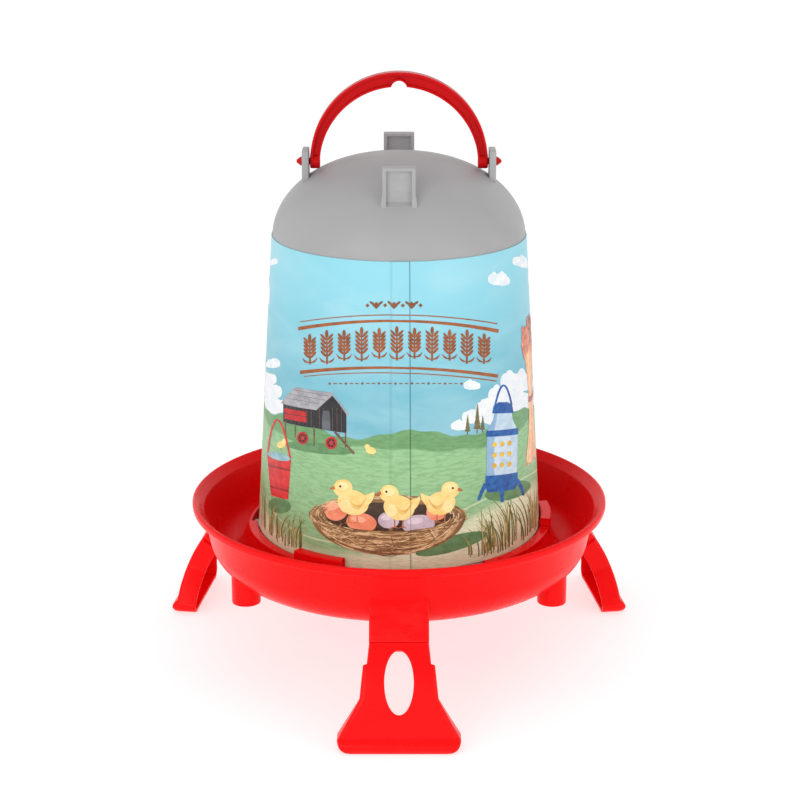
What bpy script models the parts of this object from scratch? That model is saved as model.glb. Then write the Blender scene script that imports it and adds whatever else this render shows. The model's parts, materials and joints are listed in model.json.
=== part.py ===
"""Poultry waterer fount.

A bell reservoir with a printed wrap and a bail handle stands in a trough tray,
and the tray stands on three plug-in legs.

Metres, +Z up. The front leg points to -Y. Each piece is first built round a tray
whose axis is the Z axis, with azimuths in degrees from -Y, positive towards +X.
The whole is then moved so that the origin is the centre of its footprint.
"""
import math

import bmesh
import bpy
from mathutils import Matrix, Vector

# Where the tray's axis stands along Y once the footprint is centred.
TRAY_AXIS_Y = 0.0219

# Gap between touching pieces, and how far a cutter runs past what it cuts.
JOINT_GAP = 0.0003
THROUGH = 0.0040

# Heights of the tray, above the floor.
RIM_TOP = 0.1215
LIP_HEIGHT = 0.0060
LIP_ROUND = 0.0015
TROUGH_FLOOR = RIM_TOP - 0.0498
TRAY_UNDERSIDE = RIM_TOP - 0.0545
COLLAR_TOP = RIM_TOP - 0.0225
SEAT_HEIGHT = RIM_TOP - 0.0340

# Radii of the tray.
RIM_RADIUS = 0.1600
WALL_TOP_RADIUS = 0.1522
WALL_FOOT_RADIUS = 0.1475
CORNER_RADIUS = 0.0280
TRAY_THICKNESS = 0.0025
COLLAR_FOOT_RADIUS = 0.1280
COLLAR_TOP_RADIUS = 0.1168
COLLAR_BORE_RADIUS = 0.1145
HOLLOW_TOP_RADIUS = 0.1190
HOLLOW_FOOT_RADIUS = 0.1240
TOE_FILLET = 0.0030

# Bayonet: the pattern repeats three times round the collar.
BAYONET_STEP = 120.0
STOP_SPAN = (-41.0, -21.0)
STOP_TOP = RIM_TOP - 0.0130
STOP_OUTER_RADIUS = 0.1185
HOOK_SPAN = (34.0, 79.2)
HOOK_HEIGHTS = (RIM_TOP - 0.0243, RIM_TOP - 0.0200)
HOOK_OUTER_RADIUS = 0.1174
HOOK_INNER_RADIUS = 0.1101
LUG_SPAN = (25.5, 33.5)
LUG_HEIGHTS = (RIM_TOP - 0.0300, RIM_TOP - 0.0250)
LUG_OUTER_RADIUS = 0.1135
PORT_SPAN = (-9.0, 9.0)
PORT_HEIGHTS = (SEAT_HEIGHT + 0.0006, SEAT_HEIGHT + 0.0050)

# Stub feet under the tray, for use without the legs.
STUB_AZIMUTHS = (60.0, 180.0, 300.0)
STUB_CIRCLE = 0.1330
STUB_RADIUS = 0.0109
STUB_BORE = 0.0082
STUB_BOTTOM = RIM_TOP - 0.0633
STUB_ROOF = 0.0020
STUB_ROOT = 0.0080

# Legs: each outer face is an arc whose centre lies on the floor.
LEG_ARC_RADIUS = 0.1005
LEG_ARC_CENTRE = 0.0995
SOCKET_TILT = 45.0
FLANGE_TILT = 36.0
KNEE_TILT = 22.0
FOOT_WIDE_TILT = 5.0
NECK_HALF_WIDTH = 0.0213
NECK_LOW_HALF_WIDTH = 0.0228
FLANGE_HALF_WIDTH = 0.0254
KNEE_HALF_WIDTH = 0.0278
FOOT_HALF_WIDTH = 0.0437
SOLE_HALF_WIDTH = 0.0370
NECK_DEPTH = 0.0125
FLANGE_DEPTH = 0.0160
LEG_WALL = 0.0026
LEG_CORNER = 0.0035
TOE_PROUD = 0.0040
TOE_HEIGHT = 0.0110
TOE_TILT = math.degrees(math.asin(TOE_HEIGHT / LEG_ARC_RADIUS))
STEP_TILT = 0.15
MOUTH_TILT = 0.2
WINDOW_TILTS = (41.8, 15.5)
WINDOW_HALF_WIDTH = 0.0103
REAR_LEG_AZIMUTH = 120.0
REAR_LEG_DIRECTION = 97.0

# Plug on each leg and its socket in the tray.
PLUG_HALF_WIDTH = 0.0186
PLUG_DEPTHS = (0.0027, 0.0100)
PLUG_LENGTH = 0.0120
PLUG_INTO_LEG = 0.0030
SOCKET_CLEARANCE = 0.0004
SOCKET_LENGTH = 0.0520

# Bell reservoir.
BELL_BOTTOM = SEAT_HEIGHT + JOINT_GAP
BELL_SHOULDER = RIM_TOP + 0.2045
BELL_APEX = RIM_TOP + 0.2660
BELL_SHOULDER_RADIUS = 0.0946
BELL_TAPER = 0.0615
BELL_THICKNESS = 0.0022
DOME_RADIAL_POWER = 2.30
DOME_HEIGHT_POWER = 1.95
OUTLET_SPAN = (-6.0, 6.0)
OUTLET_TOP = BELL_BOTTOM + 0.0045

# Printed wrap round the bell.
WRAP_BOTTOM = RIM_TOP - 0.0210
WRAP_TOP = RIM_TOP + 0.2065
WRAP_THICKNESS = 0.0005
WRAP_SEAM = 4.5
WRAP_OVERLAP = 7.0
LAP_EDGE = 0.3

# Posts on the dome: two channels and two ears, all of one height.
POST_TOP = RIM_TOP + 0.2695
POST_FOOT = RIM_TOP + 0.2300
CHANNEL_HALF_WIDTH = 0.0118
CHANNEL_RADII = (0.0680, 0.0770)
CHANNEL_RECESS = 0.0033
CHANNEL_WALL = 0.0028
CHANNEL_TOP_WALL = 0.0025
RECESS_FOOT_OUTSIDE = POST_FOOT + 0.0165
RECESS_FOOT_INSIDE = POST_FOOT + 0.0225
EAR_RADII = (0.0665, 0.0715)
EAR_HALF_WIDTH = 0.0105
EAR_HOLE_RADIUS = 0.0030

# Bail handle.
PIN_HEIGHT = RIM_TOP + 0.2605
PIN_RADIUS = 0.0025
BAIL_OUTER_RADIUS = 0.0660
BAIL_CROWN_BAND = 0.0105
BAIL_END_BAND = 0.0070
BAIL_END_OUTER = 0.0655
BAIL_HALF_WIDTH = 0.0060
BAIL_END_HALF_WIDTH = 0.0052
BAIL_WEB_HALF = 0.0020
BAIL_RIM = 0.0024
BAIL_INNER_RIM = 0.0015
EYE_MARGIN = 0.0002
SNAP_RADIUS = 0.0034
SNAP_LENGTH = 0.0040
SNAP_TIP_RADIUS = 0.0010
SNAP_GAP = 0.0004
PIN_ROOT = 0.0030
PIN_INTO_SNAP = 0.0012
NOTCH_RADIUS = 0.0058
NOTCH_DROP = 0.0015

# Facets.
RING_STEPS = 72
SECTOR_STEP = 5.0
BAIL_STEPS = 36
SMOOTH_ANGLE = math.radians(35.0)

PLASTIC_RED = (0.78, 0.012, 0.012)
PLASTIC_GREY = (0.44, 0.43, 0.44)
WRAP_BLUE = (0.42, 0.72, 0.86)


def clear_scene():
    for item in list(bpy.data.objects):
        bpy.data.objects.remove(item)


def plastic(name, colour, roughness):
    result = bpy.data.materials.new(name)
    result.use_nodes = True
    shader = result.node_tree.nodes["Principled BSDF"]
    shader.inputs["Base Color"].default_value = (*colour, 1.0)
    shader.inputs["Roughness"].default_value = roughness
    shader.inputs["Metallic"].default_value = 0.0
    return result


def polar(radius, azimuth, height):
    angle = math.radians(azimuth)
    return Vector((radius * math.sin(angle), -radius * math.cos(angle), height))


def spread(start, end, count):
    """Return count + 1 evenly spaced values."""
    return [start + (end - start) * index / count for index in range(count + 1)]


def repeated(span):
    """Return the span at each of the bayonet's places."""
    return [(span[0] + turn * BAYONET_STEP, span[1] + turn * BAYONET_STEP) for turn in range(3)]


def arc(centre, radius, start, end, count):
    """Return points of an arc in the radius-height plane, with angles in degrees from outward."""
    points = []
    for angle in spread(start, end, count):
        turn = math.radians(angle)
        points.append((centre[0] + radius * math.cos(turn), centre[1] + radius * math.sin(turn)))
    return points


def add_loft(mesh, rings):
    """Join rings of points into one closed tube with both ends capped."""
    loops = [[mesh.verts.new(point) for point in ring] for ring in rings]
    size = len(loops[0])
    for lower, upper in zip(loops, loops[1:]):
        for index in range(size):
            after = (index + 1) % size
            mesh.faces.new((lower[index], lower[after], upper[after], upper[index]))
    mesh.faces.new(reversed(loops[0]))
    mesh.faces.new(loops[-1])


def add_turned(mesh, profile):
    """Turn a radius-height profile about the axis; a profile that leaves the axis is a closed loop."""
    verts = [mesh.verts.new((radius, 0.0, height)) for radius, height in profile]
    edges = [mesh.edges.new(pair) for pair in zip(verts, verts[1:])]
    if min(profile[0][0], profile[-1][0]) > 0.0:
        edges.append(mesh.edges.new((verts[-1], verts[0])))
    bmesh.ops.spin(mesh, geom=verts + edges, cent=(0, 0, 0), axis=(0, 0, 1),
                   angle=math.tau, steps=RING_STEPS, use_merge=True)
    bmesh.ops.remove_doubles(mesh, verts=mesh.verts, dist=0.000001)


def add_sector(mesh, radii, heights, span):
    """Add a block that follows an arc of the collar."""
    count = max(2, round((span[1] - span[0]) / SECTOR_STEP))
    rings = []
    for azimuth in spread(span[0], span[1], count):
        rings.append([polar(radii[0], azimuth, heights[0]), polar(radii[1], azimuth, heights[0]),
                      polar(radii[1], azimuth, heights[1]), polar(radii[0], azimuth, heights[1])])
    add_loft(mesh, rings)


def add_cylinder(mesh, radius, length, matrix, sides=24, far_radius=None):
    """Add a cylinder or cone along the matrix's Z axis, centred on its origin."""
    tip = radius if far_radius is None else far_radius
    bmesh.ops.create_cone(mesh, cap_ends=True, segments=sides, radius1=radius, radius2=tip,
                          depth=length, matrix=matrix)


def add_box(mesh, low, high):
    size = [top - bottom for bottom, top in zip(low, high)]
    middle = [(top + bottom) / 2.0 for bottom, top in zip(low, high)]
    bmesh.ops.create_cube(mesh, size=1.0, matrix=Matrix.Translation(middle) @ Matrix.Diagonal((*size, 1.0)))


def make_object(name, mesh, surface=None):
    """Turn a bmesh into a smooth-shaded object of the scene."""
    bmesh.ops.recalc_face_normals(mesh, faces=mesh.faces)
    data = bpy.data.meshes.new(name)
    mesh.to_mesh(data)
    mesh.free()
    data.shade_smooth()
    data.set_sharp_from_angle(angle=SMOOTH_ANGLE)
    result = bpy.data.objects.new(name, data)
    bpy.context.scene.collection.objects.link(result)
    if surface is not None:
        data.materials.append(surface)
    return result


def combine(target, tool, operation):
    """Combine a helper shape with the target and keep the helper out of the model."""
    tool.hide_render = True
    tool.display_type = "WIRE"
    change = target.modifiers.new(tool.name, "BOOLEAN")
    change.operation = operation
    change.solver = "EXACT"
    change.object = tool


# ---------------------------------------------------------------- tray

def tray_outer_profile():
    """Outside of the tray, filled up to the rim, with the hollow under the raised seat."""
    lean = math.degrees(math.atan2(WALL_TOP_RADIUS - WALL_FOOT_RADIUS, RIM_TOP - LIP_HEIGHT - TRAY_UNDERSIDE))
    centre = (WALL_FOOT_RADIUS - CORNER_RADIUS, TRAY_UNDERSIDE + CORNER_RADIUS)
    lip_bottom = RIM_TOP - LIP_HEIGHT
    under_seat = SEAT_HEIGHT - TRAY_THICKNESS
    corner = arc(centre, CORNER_RADIUS, -78.0, -lean, 6)
    profile = [(0.0, under_seat), (HOLLOW_TOP_RADIUS, under_seat), (HOLLOW_FOOT_RADIUS, corner[0][1])]
    profile += corner
    profile += [(WALL_TOP_RADIUS, lip_bottom - 0.0025), (WALL_TOP_RADIUS + 0.0022, lip_bottom - 0.0006)]
    profile += [(RIM_RADIUS - LIP_ROUND, lip_bottom), (RIM_RADIUS, lip_bottom + LIP_ROUND)]
    profile += [(RIM_RADIUS, RIM_TOP - LIP_ROUND), (RIM_RADIUS - LIP_ROUND, RIM_TOP), (0.0, RIM_TOP)]
    return profile


def tray_inner_profile():
    """The space above the tray: the trough, the bell's seat and the flared mouth."""
    inner_corner = CORNER_RADIUS - TRAY_THICKNESS
    centre = (WALL_FOOT_RADIUS - CORNER_RADIUS, TRAY_UNDERSIDE + CORNER_RADIUS)
    over_rim = RIM_TOP + 0.010
    profile = [(0.0, SEAT_HEIGHT), (COLLAR_BORE_RADIUS, SEAT_HEIGHT)]
    profile += [(COLLAR_BORE_RADIUS, COLLAR_TOP), (COLLAR_TOP_RADIUS, COLLAR_TOP)]
    profile += [(COLLAR_FOOT_RADIUS - TOE_FILLET / 3.0, TROUGH_FLOOR + TOE_FILLET)]
    profile += [(COLLAR_FOOT_RADIUS + TOE_FILLET / 2.0, TROUGH_FLOOR)]
    profile += arc(centre, inner_corner, -64.0, -6.0, 5)
    profile += [(WALL_TOP_RADIUS - TRAY_THICKNESS, RIM_TOP - 0.0110), (WALL_TOP_RADIUS - 0.0010, RIM_TOP - 0.0058)]
    profile += [(WALL_TOP_RADIUS + 0.0030, RIM_TOP - 0.0024), (RIM_RADIUS - 0.0022, RIM_TOP - 0.0003)]
    profile += [(RIM_RADIUS - 0.0016, over_rim), (0.0, over_rim)]
    return profile


def leg_point(tilt, lateral, depth, proud=0.0):
    """A point of the front leg: depth is measured inward from its outer face."""
    turn = math.radians(tilt)
    reach = LEG_ARC_RADIUS + proud - depth
    return Vector((lateral, -(LEG_ARC_CENTRE + reach * math.cos(turn)), reach * math.sin(turn)))


def leg_frame(azimuth, direction):
    """Frame at the mouth of a leg's socket, whose -Y points the way the leg splays."""
    mouth = leg_point(SOCKET_TILT, 0.0, 0.0)
    home = Matrix.Translation(polar(-mouth.y, azimuth, mouth.z))
    return home @ Matrix.Rotation(math.radians(direction), 4, "Z")


LEG_PLACES = {
    "leg_front": (0.0, 0.0),
    "leg_rear_left": (-REAR_LEG_AZIMUTH, -REAR_LEG_DIRECTION),
    "leg_rear_right": (REAR_LEG_AZIMUTH, REAR_LEG_DIRECTION),
}


def plug_ring(half_width, depths, distance):
    """Section of a plug or socket at a distance from the mouth, positive out of the socket."""
    turn = math.radians(SOCKET_TILT)
    along = Vector((0.0, -math.sin(turn), -math.cos(turn))) * distance
    corners = ((-half_width, depths[0]), (half_width, depths[0]), (half_width, depths[1]), (-half_width, depths[1]))
    return [leg_point(SOCKET_TILT, lateral, depth) + along for lateral, depth in corners]


def add_leg_loft(mesh, rings, frame=None):
    """Add a loft given as on the front leg, in a leg's own frame or carried to a frame on the tray."""
    shift = Matrix.Translation(-leg_point(SOCKET_TILT, 0.0, 0.0))
    matrix = shift if frame is None else frame @ shift
    add_loft(mesh, [[matrix @ point for point in ring] for ring in rings])


def add_tray_bosses(mesh):
    """Leg sockets and stub feet, as solids that reach into the tray's wall."""
    sleeve = [plug_ring(NECK_HALF_WIDTH, (0.0, NECK_DEPTH), distance) for distance in (-SOCKET_LENGTH, 0.0)]
    for azimuth, direction in LEG_PLACES.values():
        add_leg_loft(mesh, sleeve, leg_frame(azimuth, direction))
    stub_top = TROUGH_FLOOR + STUB_ROOT
    for azimuth in STUB_AZIMUTHS:
        middle = polar(STUB_CIRCLE, azimuth, (stub_top + STUB_BOTTOM) / 2.0)
        add_cylinder(mesh, STUB_RADIUS, stub_top - STUB_BOTTOM, Matrix.Translation(middle))


def add_tray_hollows(mesh):
    """Leg socket cavities and the bores of the stub feet."""
    room = (PLUG_DEPTHS[0] - SOCKET_CLEARANCE, PLUG_DEPTHS[1] + SOCKET_CLEARANCE)
    depth = PLUG_LENGTH + 2.0 * SOCKET_CLEARANCE
    cavity = [plug_ring(PLUG_HALF_WIDTH + SOCKET_CLEARANCE, room, distance) for distance in (-depth, THROUGH)]
    for azimuth, direction in LEG_PLACES.values():
        add_leg_loft(mesh, cavity, leg_frame(azimuth, direction))
    bore_top = TRAY_UNDERSIDE - STUB_ROOF
    bore_bottom = STUB_BOTTOM - THROUGH
    for azimuth in STUB_AZIMUTHS:
        middle = polar(STUB_CIRCLE, azimuth, (bore_top + bore_bottom) / 2.0)
        add_cylinder(mesh, STUB_BORE, bore_top - bore_bottom, Matrix.Translation(middle))


def make_tray(surface):
    solid = bmesh.new()
    add_turned(solid, tray_outer_profile())
    tray = make_object("tray", solid, surface)

    bosses = bmesh.new()
    add_tray_bosses(bosses)
    combine(tray, make_object("tray_bosses", bosses), "UNION")

    space = bmesh.new()
    add_turned(space, tray_inner_profile())
    combine(tray, make_object("tray_space", space), "DIFFERENCE")

    sockets = bmesh.new()
    add_tray_hollows(sockets)
    combine(tray, make_object("tray_sockets", sockets), "DIFFERENCE")

    stops = bmesh.new()
    for span in repeated(STOP_SPAN):
        add_sector(stops, (HOOK_INNER_RADIUS, STOP_OUTER_RADIUS), (SEAT_HEIGHT - 0.0010, STOP_TOP), span)
    combine(tray, make_object("tray_stops", stops), "UNION")

    hooks = bmesh.new()
    for span in repeated(HOOK_SPAN):
        add_sector(hooks, (HOOK_INNER_RADIUS, HOOK_OUTER_RADIUS), HOOK_HEIGHTS, span)
    combine(tray, make_object("tray_hooks", hooks), "UNION")

    ports = bmesh.new()
    for span in repeated(PORT_SPAN):
        add_sector(ports, (COLLAR_BORE_RADIUS - THROUGH, COLLAR_FOOT_RADIUS), PORT_HEIGHTS, span)
    combine(tray, make_object("tray_ports", ports), "DIFFERENCE")
    return tray


# ---------------------------------------------------------------- legs

def between(value, first, second):
    """Linear value between two (position, size) pairs."""
    share = (value - first[0]) / (second[0] - first[0])
    return first[1] + (second[1] - first[1]) * share


def leg_half_width(tilt):
    if tilt > FLANGE_TILT:
        return between(tilt, (SOCKET_TILT, NECK_HALF_WIDTH), (FLANGE_TILT, NECK_LOW_HALF_WIDTH))
    if tilt > KNEE_TILT:
        return between(tilt, (FLANGE_TILT, FLANGE_HALF_WIDTH), (KNEE_TILT, KNEE_HALF_WIDTH))
    if tilt > FOOT_WIDE_TILT:
        return between(tilt, (KNEE_TILT, KNEE_HALF_WIDTH), (FOOT_WIDE_TILT, FOOT_HALF_WIDTH))
    drop = 1.0 - tilt / FOOT_WIDE_TILT
    return FOOT_HALF_WIDTH - (FOOT_HALF_WIDTH - SOLE_HALF_WIDTH) * (1.0 - math.sqrt(max(0.0, 1.0 - drop * drop)))


def toe_proud(tilt):
    """How far the rolled toe stands out of the leg's face."""
    height = LEG_ARC_RADIUS * math.sin(math.radians(tilt))
    if height >= TOE_HEIGHT:
        return 0.0
    return TOE_PROUD * math.sin(math.pi * (height + 0.002) / (TOE_HEIGHT + 0.002))


def leg_outer_ring(tilt):
    """Section of the leg as a solid bar with two rounded outer corners."""
    half = leg_half_width(tilt)
    depth = NECK_DEPTH if tilt > FLANGE_TILT else FLANGE_DEPTH
    proud = toe_proud(tilt)
    outline = [(-half, depth), (-half, LEG_CORNER)]
    for turn in (30.0, 60.0):
        angle = math.radians(turn)
        outline.append((-half + LEG_CORNER * (1.0 - math.cos(angle)), LEG_CORNER * (1.0 - math.sin(angle))))
    outline += [(-half + LEG_CORNER, 0.0), (half - LEG_CORNER, 0.0)]
    for turn in (60.0, 30.0):
        angle = math.radians(turn)
        outline.append((half - LEG_CORNER * (1.0 - math.cos(angle)), LEG_CORNER * (1.0 - math.sin(angle))))
    outline += [(half, LEG_CORNER), (half, depth)]
    ring = []
    for lateral, inward in outline:
        share = 1.0 - min(inward, LEG_CORNER) / LEG_CORNER
        ring.append(leg_point(tilt, lateral, inward, proud * share))
    return ring


def leg_inner_ring(tilt):
    """Section of the hollow, open at the back of the leg."""
    half = leg_half_width(tilt) - LEG_WALL
    back = FLANGE_DEPTH + 0.006
    corners = ((-half, LEG_WALL), (half, LEG_WALL), (half, back), (-half, back))
    return [leg_point(tilt, lateral, inward) for lateral, inward in corners]


def leg_tilts():
    """Sections of the leg from its socket down to the floor."""
    neck = spread(SOCKET_TILT - MOUTH_TILT, FLANGE_TILT + STEP_TILT, 3)
    shank = spread(FLANGE_TILT - STEP_TILT, KNEE_TILT, 4)
    flare = spread(KNEE_TILT, TOE_TILT, 3)[1:]
    toe = spread(TOE_TILT, 0.0, 6)[1:]
    return neck + shank + flare + toe


def make_leg(name, azimuth, direction, surface):
    """One leg, with its origin at the mouth of its socket, on the axis it is pulled out along."""
    bar = bmesh.new()
    add_leg_loft(bar, [leg_outer_ring(tilt) for tilt in leg_tilts()])
    leg = make_object(name, bar, surface)
    leg.matrix_world = leg_frame(azimuth, direction)

    plug = bmesh.new()
    ends = (-PLUG_LENGTH, PLUG_INTO_LEG)
    add_leg_loft(plug, [plug_ring(PLUG_HALF_WIDTH, PLUG_DEPTHS, distance) for distance in ends])

    hollow = bmesh.new()
    sole_tilt = math.degrees(math.asin(LEG_WALL / LEG_ARC_RADIUS))
    tilts = [SOCKET_TILT - 3.0, FLANGE_TILT + STEP_TILT]
    tilts += spread(FLANGE_TILT - STEP_TILT, KNEE_TILT, 3)
    tilts += spread(KNEE_TILT, FOOT_WIDE_TILT, 2)[1:] + [sole_tilt]
    add_leg_loft(hollow, [leg_inner_ring(tilt) for tilt in tilts])

    window = bmesh.new()
    add_leg_loft(window, window_rings())

    for label, mesh, operation in (("plug", plug, "UNION"), ("hollow", hollow, "DIFFERENCE"),
                                   ("window", window, "DIFFERENCE")):
        tool = make_object(name + "_" + label, mesh)
        tool.parent = leg
        combine(leg, tool, operation)
    return leg


def window_rings():
    """The oval window, as two rings before and behind the leg's face."""
    middle = sum(WINDOW_TILTS) / 2.0
    half = (WINDOW_TILTS[0] - WINDOW_TILTS[1]) / 2.0
    rings = []
    for depth in (-0.004, LEG_WALL + 0.003):
        ring = []
        for turn in spread(0.0, 360.0, 24)[:-1]:
            angle = math.radians(turn)
            tilt = middle + half * math.sin(angle)
            ring.append(leg_point(tilt, WINDOW_HALF_WIDTH * math.cos(angle), depth))
        rings.append(ring)
    return rings


# ---------------------------------------------------------------- reservoir

def bell_cone_radius(height):
    """Outer radius of the bell's tapered side."""
    return BELL_SHOULDER_RADIUS + BELL_TAPER * (BELL_SHOULDER - height)


def dome_profile(shrink):
    """Points of the dome from its shoulder to its apex, inside the outer skin by shrink."""
    radius = BELL_SHOULDER_RADIUS - shrink
    rise = BELL_APEX - BELL_SHOULDER - shrink
    points = []
    for turn in spread(0.0, 90.0, 11):
        angle = math.radians(turn)
        across = max(0.0, math.cos(angle)) ** (2.0 / DOME_RADIAL_POWER)
        up = math.sin(angle) ** (2.0 / DOME_HEIGHT_POWER)
        points.append((radius * across, BELL_SHOULDER + rise * up))
    points[-1] = (0.0, points[-1][1])
    return points


def make_reservoir(surface):
    profile = [(bell_cone_radius(BELL_BOTTOM) - BELL_THICKNESS, BELL_BOTTOM)]
    profile += dome_profile(BELL_THICKNESS)
    inner = list(reversed(profile))
    outer = [(bell_cone_radius(BELL_BOTTOM), BELL_BOTTOM)] + dome_profile(0.0)
    shell = bmesh.new()
    add_turned(shell, inner + outer)
    reservoir = make_object("reservoir", shell, surface)

    extras = bmesh.new()
    inner_face = bell_cone_radius(BELL_BOTTOM) - BELL_THICKNESS / 2.0
    for span in repeated(LUG_SPAN):
        add_sector(extras, (inner_face, LUG_OUTER_RADIUS), LUG_HEIGHTS, span)
    for side in (-1.0, 1.0):
        radii = sorted(side * radius for radius in CHANNEL_RADII)
        add_box(extras, (-CHANNEL_HALF_WIDTH, radii[0], POST_FOOT), (CHANNEL_HALF_WIDTH, radii[1], POST_TOP))
        radii = sorted(side * radius for radius in EAR_RADII)
        add_box(extras, (radii[0], -EAR_HALF_WIDTH, POST_FOOT), (radii[1], EAR_HALF_WIDTH, POST_TOP))
    combine(reservoir, make_object("reservoir_extras", extras), "UNION")

    inside = bmesh.new()
    floor = BELL_BOTTOM - THROUGH
    mouth = [(0.0, floor), (bell_cone_radius(floor) - BELL_THICKNESS, floor)]
    add_turned(inside, mouth + dome_profile(BELL_THICKNESS))
    combine(reservoir, make_object("reservoir_inside", inside), "DIFFERENCE")

    cuts = bmesh.new()
    half = CHANNEL_HALF_WIDTH - CHANNEL_WALL
    top = POST_TOP - CHANNEL_TOP_WALL
    for side in (-1.0, 1.0):
        inward = sorted((side * (CHANNEL_RADII[0] - THROUGH), side * (CHANNEL_RADII[0] + CHANNEL_RECESS)))
        outward = sorted((side * (CHANNEL_RADII[1] - CHANNEL_RECESS), side * (CHANNEL_RADII[1] + THROUGH)))
        add_box(cuts, (-half, outward[0], RECESS_FOOT_OUTSIDE), (half, outward[1], top))
        add_box(cuts, (-half, inward[0], RECESS_FOOT_INSIDE), (half, inward[1], top))
        middle = Matrix.Translation((side * sum(EAR_RADII) / 2.0, 0.0, PIN_HEIGHT))
        ear_width = EAR_RADII[1] - EAR_RADII[0] + 2.0 * THROUGH
        add_cylinder(cuts, EAR_HOLE_RADIUS, ear_width, middle @ Matrix.Rotation(math.pi / 2.0, 4, "Y"))
    bottom_radius = bell_cone_radius(BELL_BOTTOM)
    for span in repeated(OUTLET_SPAN):
        radii = (bottom_radius - BELL_THICKNESS - THROUGH, bottom_radius + THROUGH)
        add_sector(cuts, radii, (BELL_BOTTOM - THROUGH, OUTLET_TOP), span)
    combine(reservoir, make_object("reservoir_cuts", cuts), "DIFFERENCE")
    return reservoir


def make_wrap(surface):
    """The printed sheet, one turn round the bell, with its end lapped over its start."""
    lap_start = WRAP_SEAM + 360.0 - WRAP_OVERLAP
    azimuths = [WRAP_SEAM] + spread(WRAP_SEAM + LAP_EDGE, lap_start, RING_STEPS)
    azimuths += [lap_start + LAP_EDGE, WRAP_SEAM + 360.0 - LAP_EDGE]
    loops = []
    mesh = bmesh.new()
    for azimuth in azimuths:
        outer = 2.0 * WRAP_THICKNESS if azimuth > lap_start else WRAP_THICKNESS
        corners = ((WRAP_BOTTOM, 0.0), (WRAP_BOTTOM, outer), (WRAP_TOP, outer), (WRAP_TOP, 0.0))
        ring = [polar(bell_cone_radius(height) + JOINT_GAP + lift, azimuth, height) for height, lift in corners]
        loops.append([mesh.verts.new(point) for point in ring])
    for current, after in zip(loops, loops[1:] + loops[:1]):
        for index in range(4):
            follow = (index + 1) % 4
            mesh.faces.new((current[index], current[follow], after[follow], after[index]))
    return make_object("label_wrap", mesh, surface)


# ---------------------------------------------------------------- bail handle

def bail_ring(turn):
    """I-shaped section of the bail at an angle round the pin axis, 0 at +X and 90 at the crown."""
    angle = math.radians(turn)
    share = math.sin(angle)
    outer = BAIL_END_OUTER + (BAIL_OUTER_RADIUS - BAIL_END_OUTER) * share
    inner = outer - (BAIL_END_BAND + (BAIL_CROWN_BAND - BAIL_END_BAND) * share)
    wide = BAIL_END_HALF_WIDTH + (BAIL_HALF_WIDTH - BAIL_END_HALF_WIDTH) * share
    web = BAIL_WEB_HALF
    half = [(outer, wide), (outer - BAIL_RIM, wide), (outer - BAIL_RIM, web),
            (inner + BAIL_INNER_RIM, web), (inner + BAIL_INNER_RIM, wide), (inner, wide)]
    outline = half + [(radius, -across) for radius, across in reversed(half)]
    return [Vector((radius * math.cos(angle), across, radius * math.sin(angle))) for radius, across in outline]


def make_bail(surface):
    bow = bmesh.new()
    add_loft(bow, [bail_ring(turn) for turn in spread(0.0, 180.0, BAIL_STEPS)])
    bail = make_object("bail_handle", bow, surface)
    bail.location = (0.0, 0.0, PIN_HEIGHT)

    ends = bmesh.new()
    end_inner = BAIL_END_OUTER - BAIL_END_BAND
    for side in (-1.0, 1.0):
        quarter = Matrix.Rotation(side * math.pi / 2.0, 4, "Y")
        eye = Matrix.Translation((side * (BAIL_END_OUTER + end_inner) / 2.0, 0.0, PIN_HEIGHT)) @ quarter
        add_cylinder(ends, BAIL_END_HALF_WIDTH + EYE_MARGIN, BAIL_END_BAND + 2.0 * EYE_MARGIN, eye)
    combine(bail, make_object("bail_ends", ends), "UNION")

    pins = bmesh.new()
    for side in (-1.0, 1.0):
        quarter = Matrix.Rotation(side * math.pi / 2.0, 4, "Y")
        start = BAIL_END_OUTER - PIN_ROOT
        end = EAR_RADII[1] + PIN_INTO_SNAP
        shaft = Matrix.Translation((side * (start + end) / 2.0, 0.0, PIN_HEIGHT)) @ quarter
        add_cylinder(pins, PIN_RADIUS, end - start, shaft)
    combine(bail, make_object("bail_pins", pins), "UNION")

    snaps = bmesh.new()
    for side in (-1.0, 1.0):
        quarter = Matrix.Rotation(side * math.pi / 2.0, 4, "Y")
        middle = EAR_RADII[1] + SNAP_GAP + SNAP_LENGTH / 2.0
        tip = Matrix.Translation((side * middle, 0.0, PIN_HEIGHT)) @ quarter
        add_cylinder(snaps, SNAP_RADIUS, SNAP_LENGTH, tip, far_radius=SNAP_TIP_RADIUS)
    combine(bail, make_object("bail_snaps", snaps), "UNION")

    notch = bmesh.new()
    crown_inner = BAIL_OUTER_RADIUS - BAIL_CROWN_BAND
    place = Matrix.Translation((0.0, 0.0, PIN_HEIGHT + crown_inner - NOTCH_DROP))
    add_cylinder(notch, NOTCH_RADIUS, 4.0 * BAIL_HALF_WIDTH, place @ Matrix.Rotation(math.pi / 2.0, 4, "X"))
    combine(bail, make_object("bail_notch", notch), "DIFFERENCE")
    return bail


def main():
    clear_scene()
    red = plastic("red_polypropylene", PLASTIC_RED, 0.32)
    grey = plastic("grey_polyethylene", PLASTIC_GREY, 0.42)
    printed = plastic("printed_wrap", WRAP_BLUE, 0.38)
    make_tray(red)
    for name, (azimuth, direction) in LEG_PLACES.items():
        make_leg(name, azimuth, direction, red)
    make_reservoir(grey)
    make_wrap(printed)
    make_bail(red)
    for item in bpy.context.scene.objects:
        if item.parent is None:
            item.location.y += TRAY_AXIS_Y


main()
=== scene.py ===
"""Looks of the poultry waterer fount: fine moulded shapes, plastics and a printed farm scene.

Metres, +Z up. Each piece is built round a tray whose axis is the Z axis and whose
soles stand at height 0, and is then moved to the tray's axis. Azimuths are in
degrees from -Y, positive towards +X.
"""
import json
import math
import random

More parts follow.
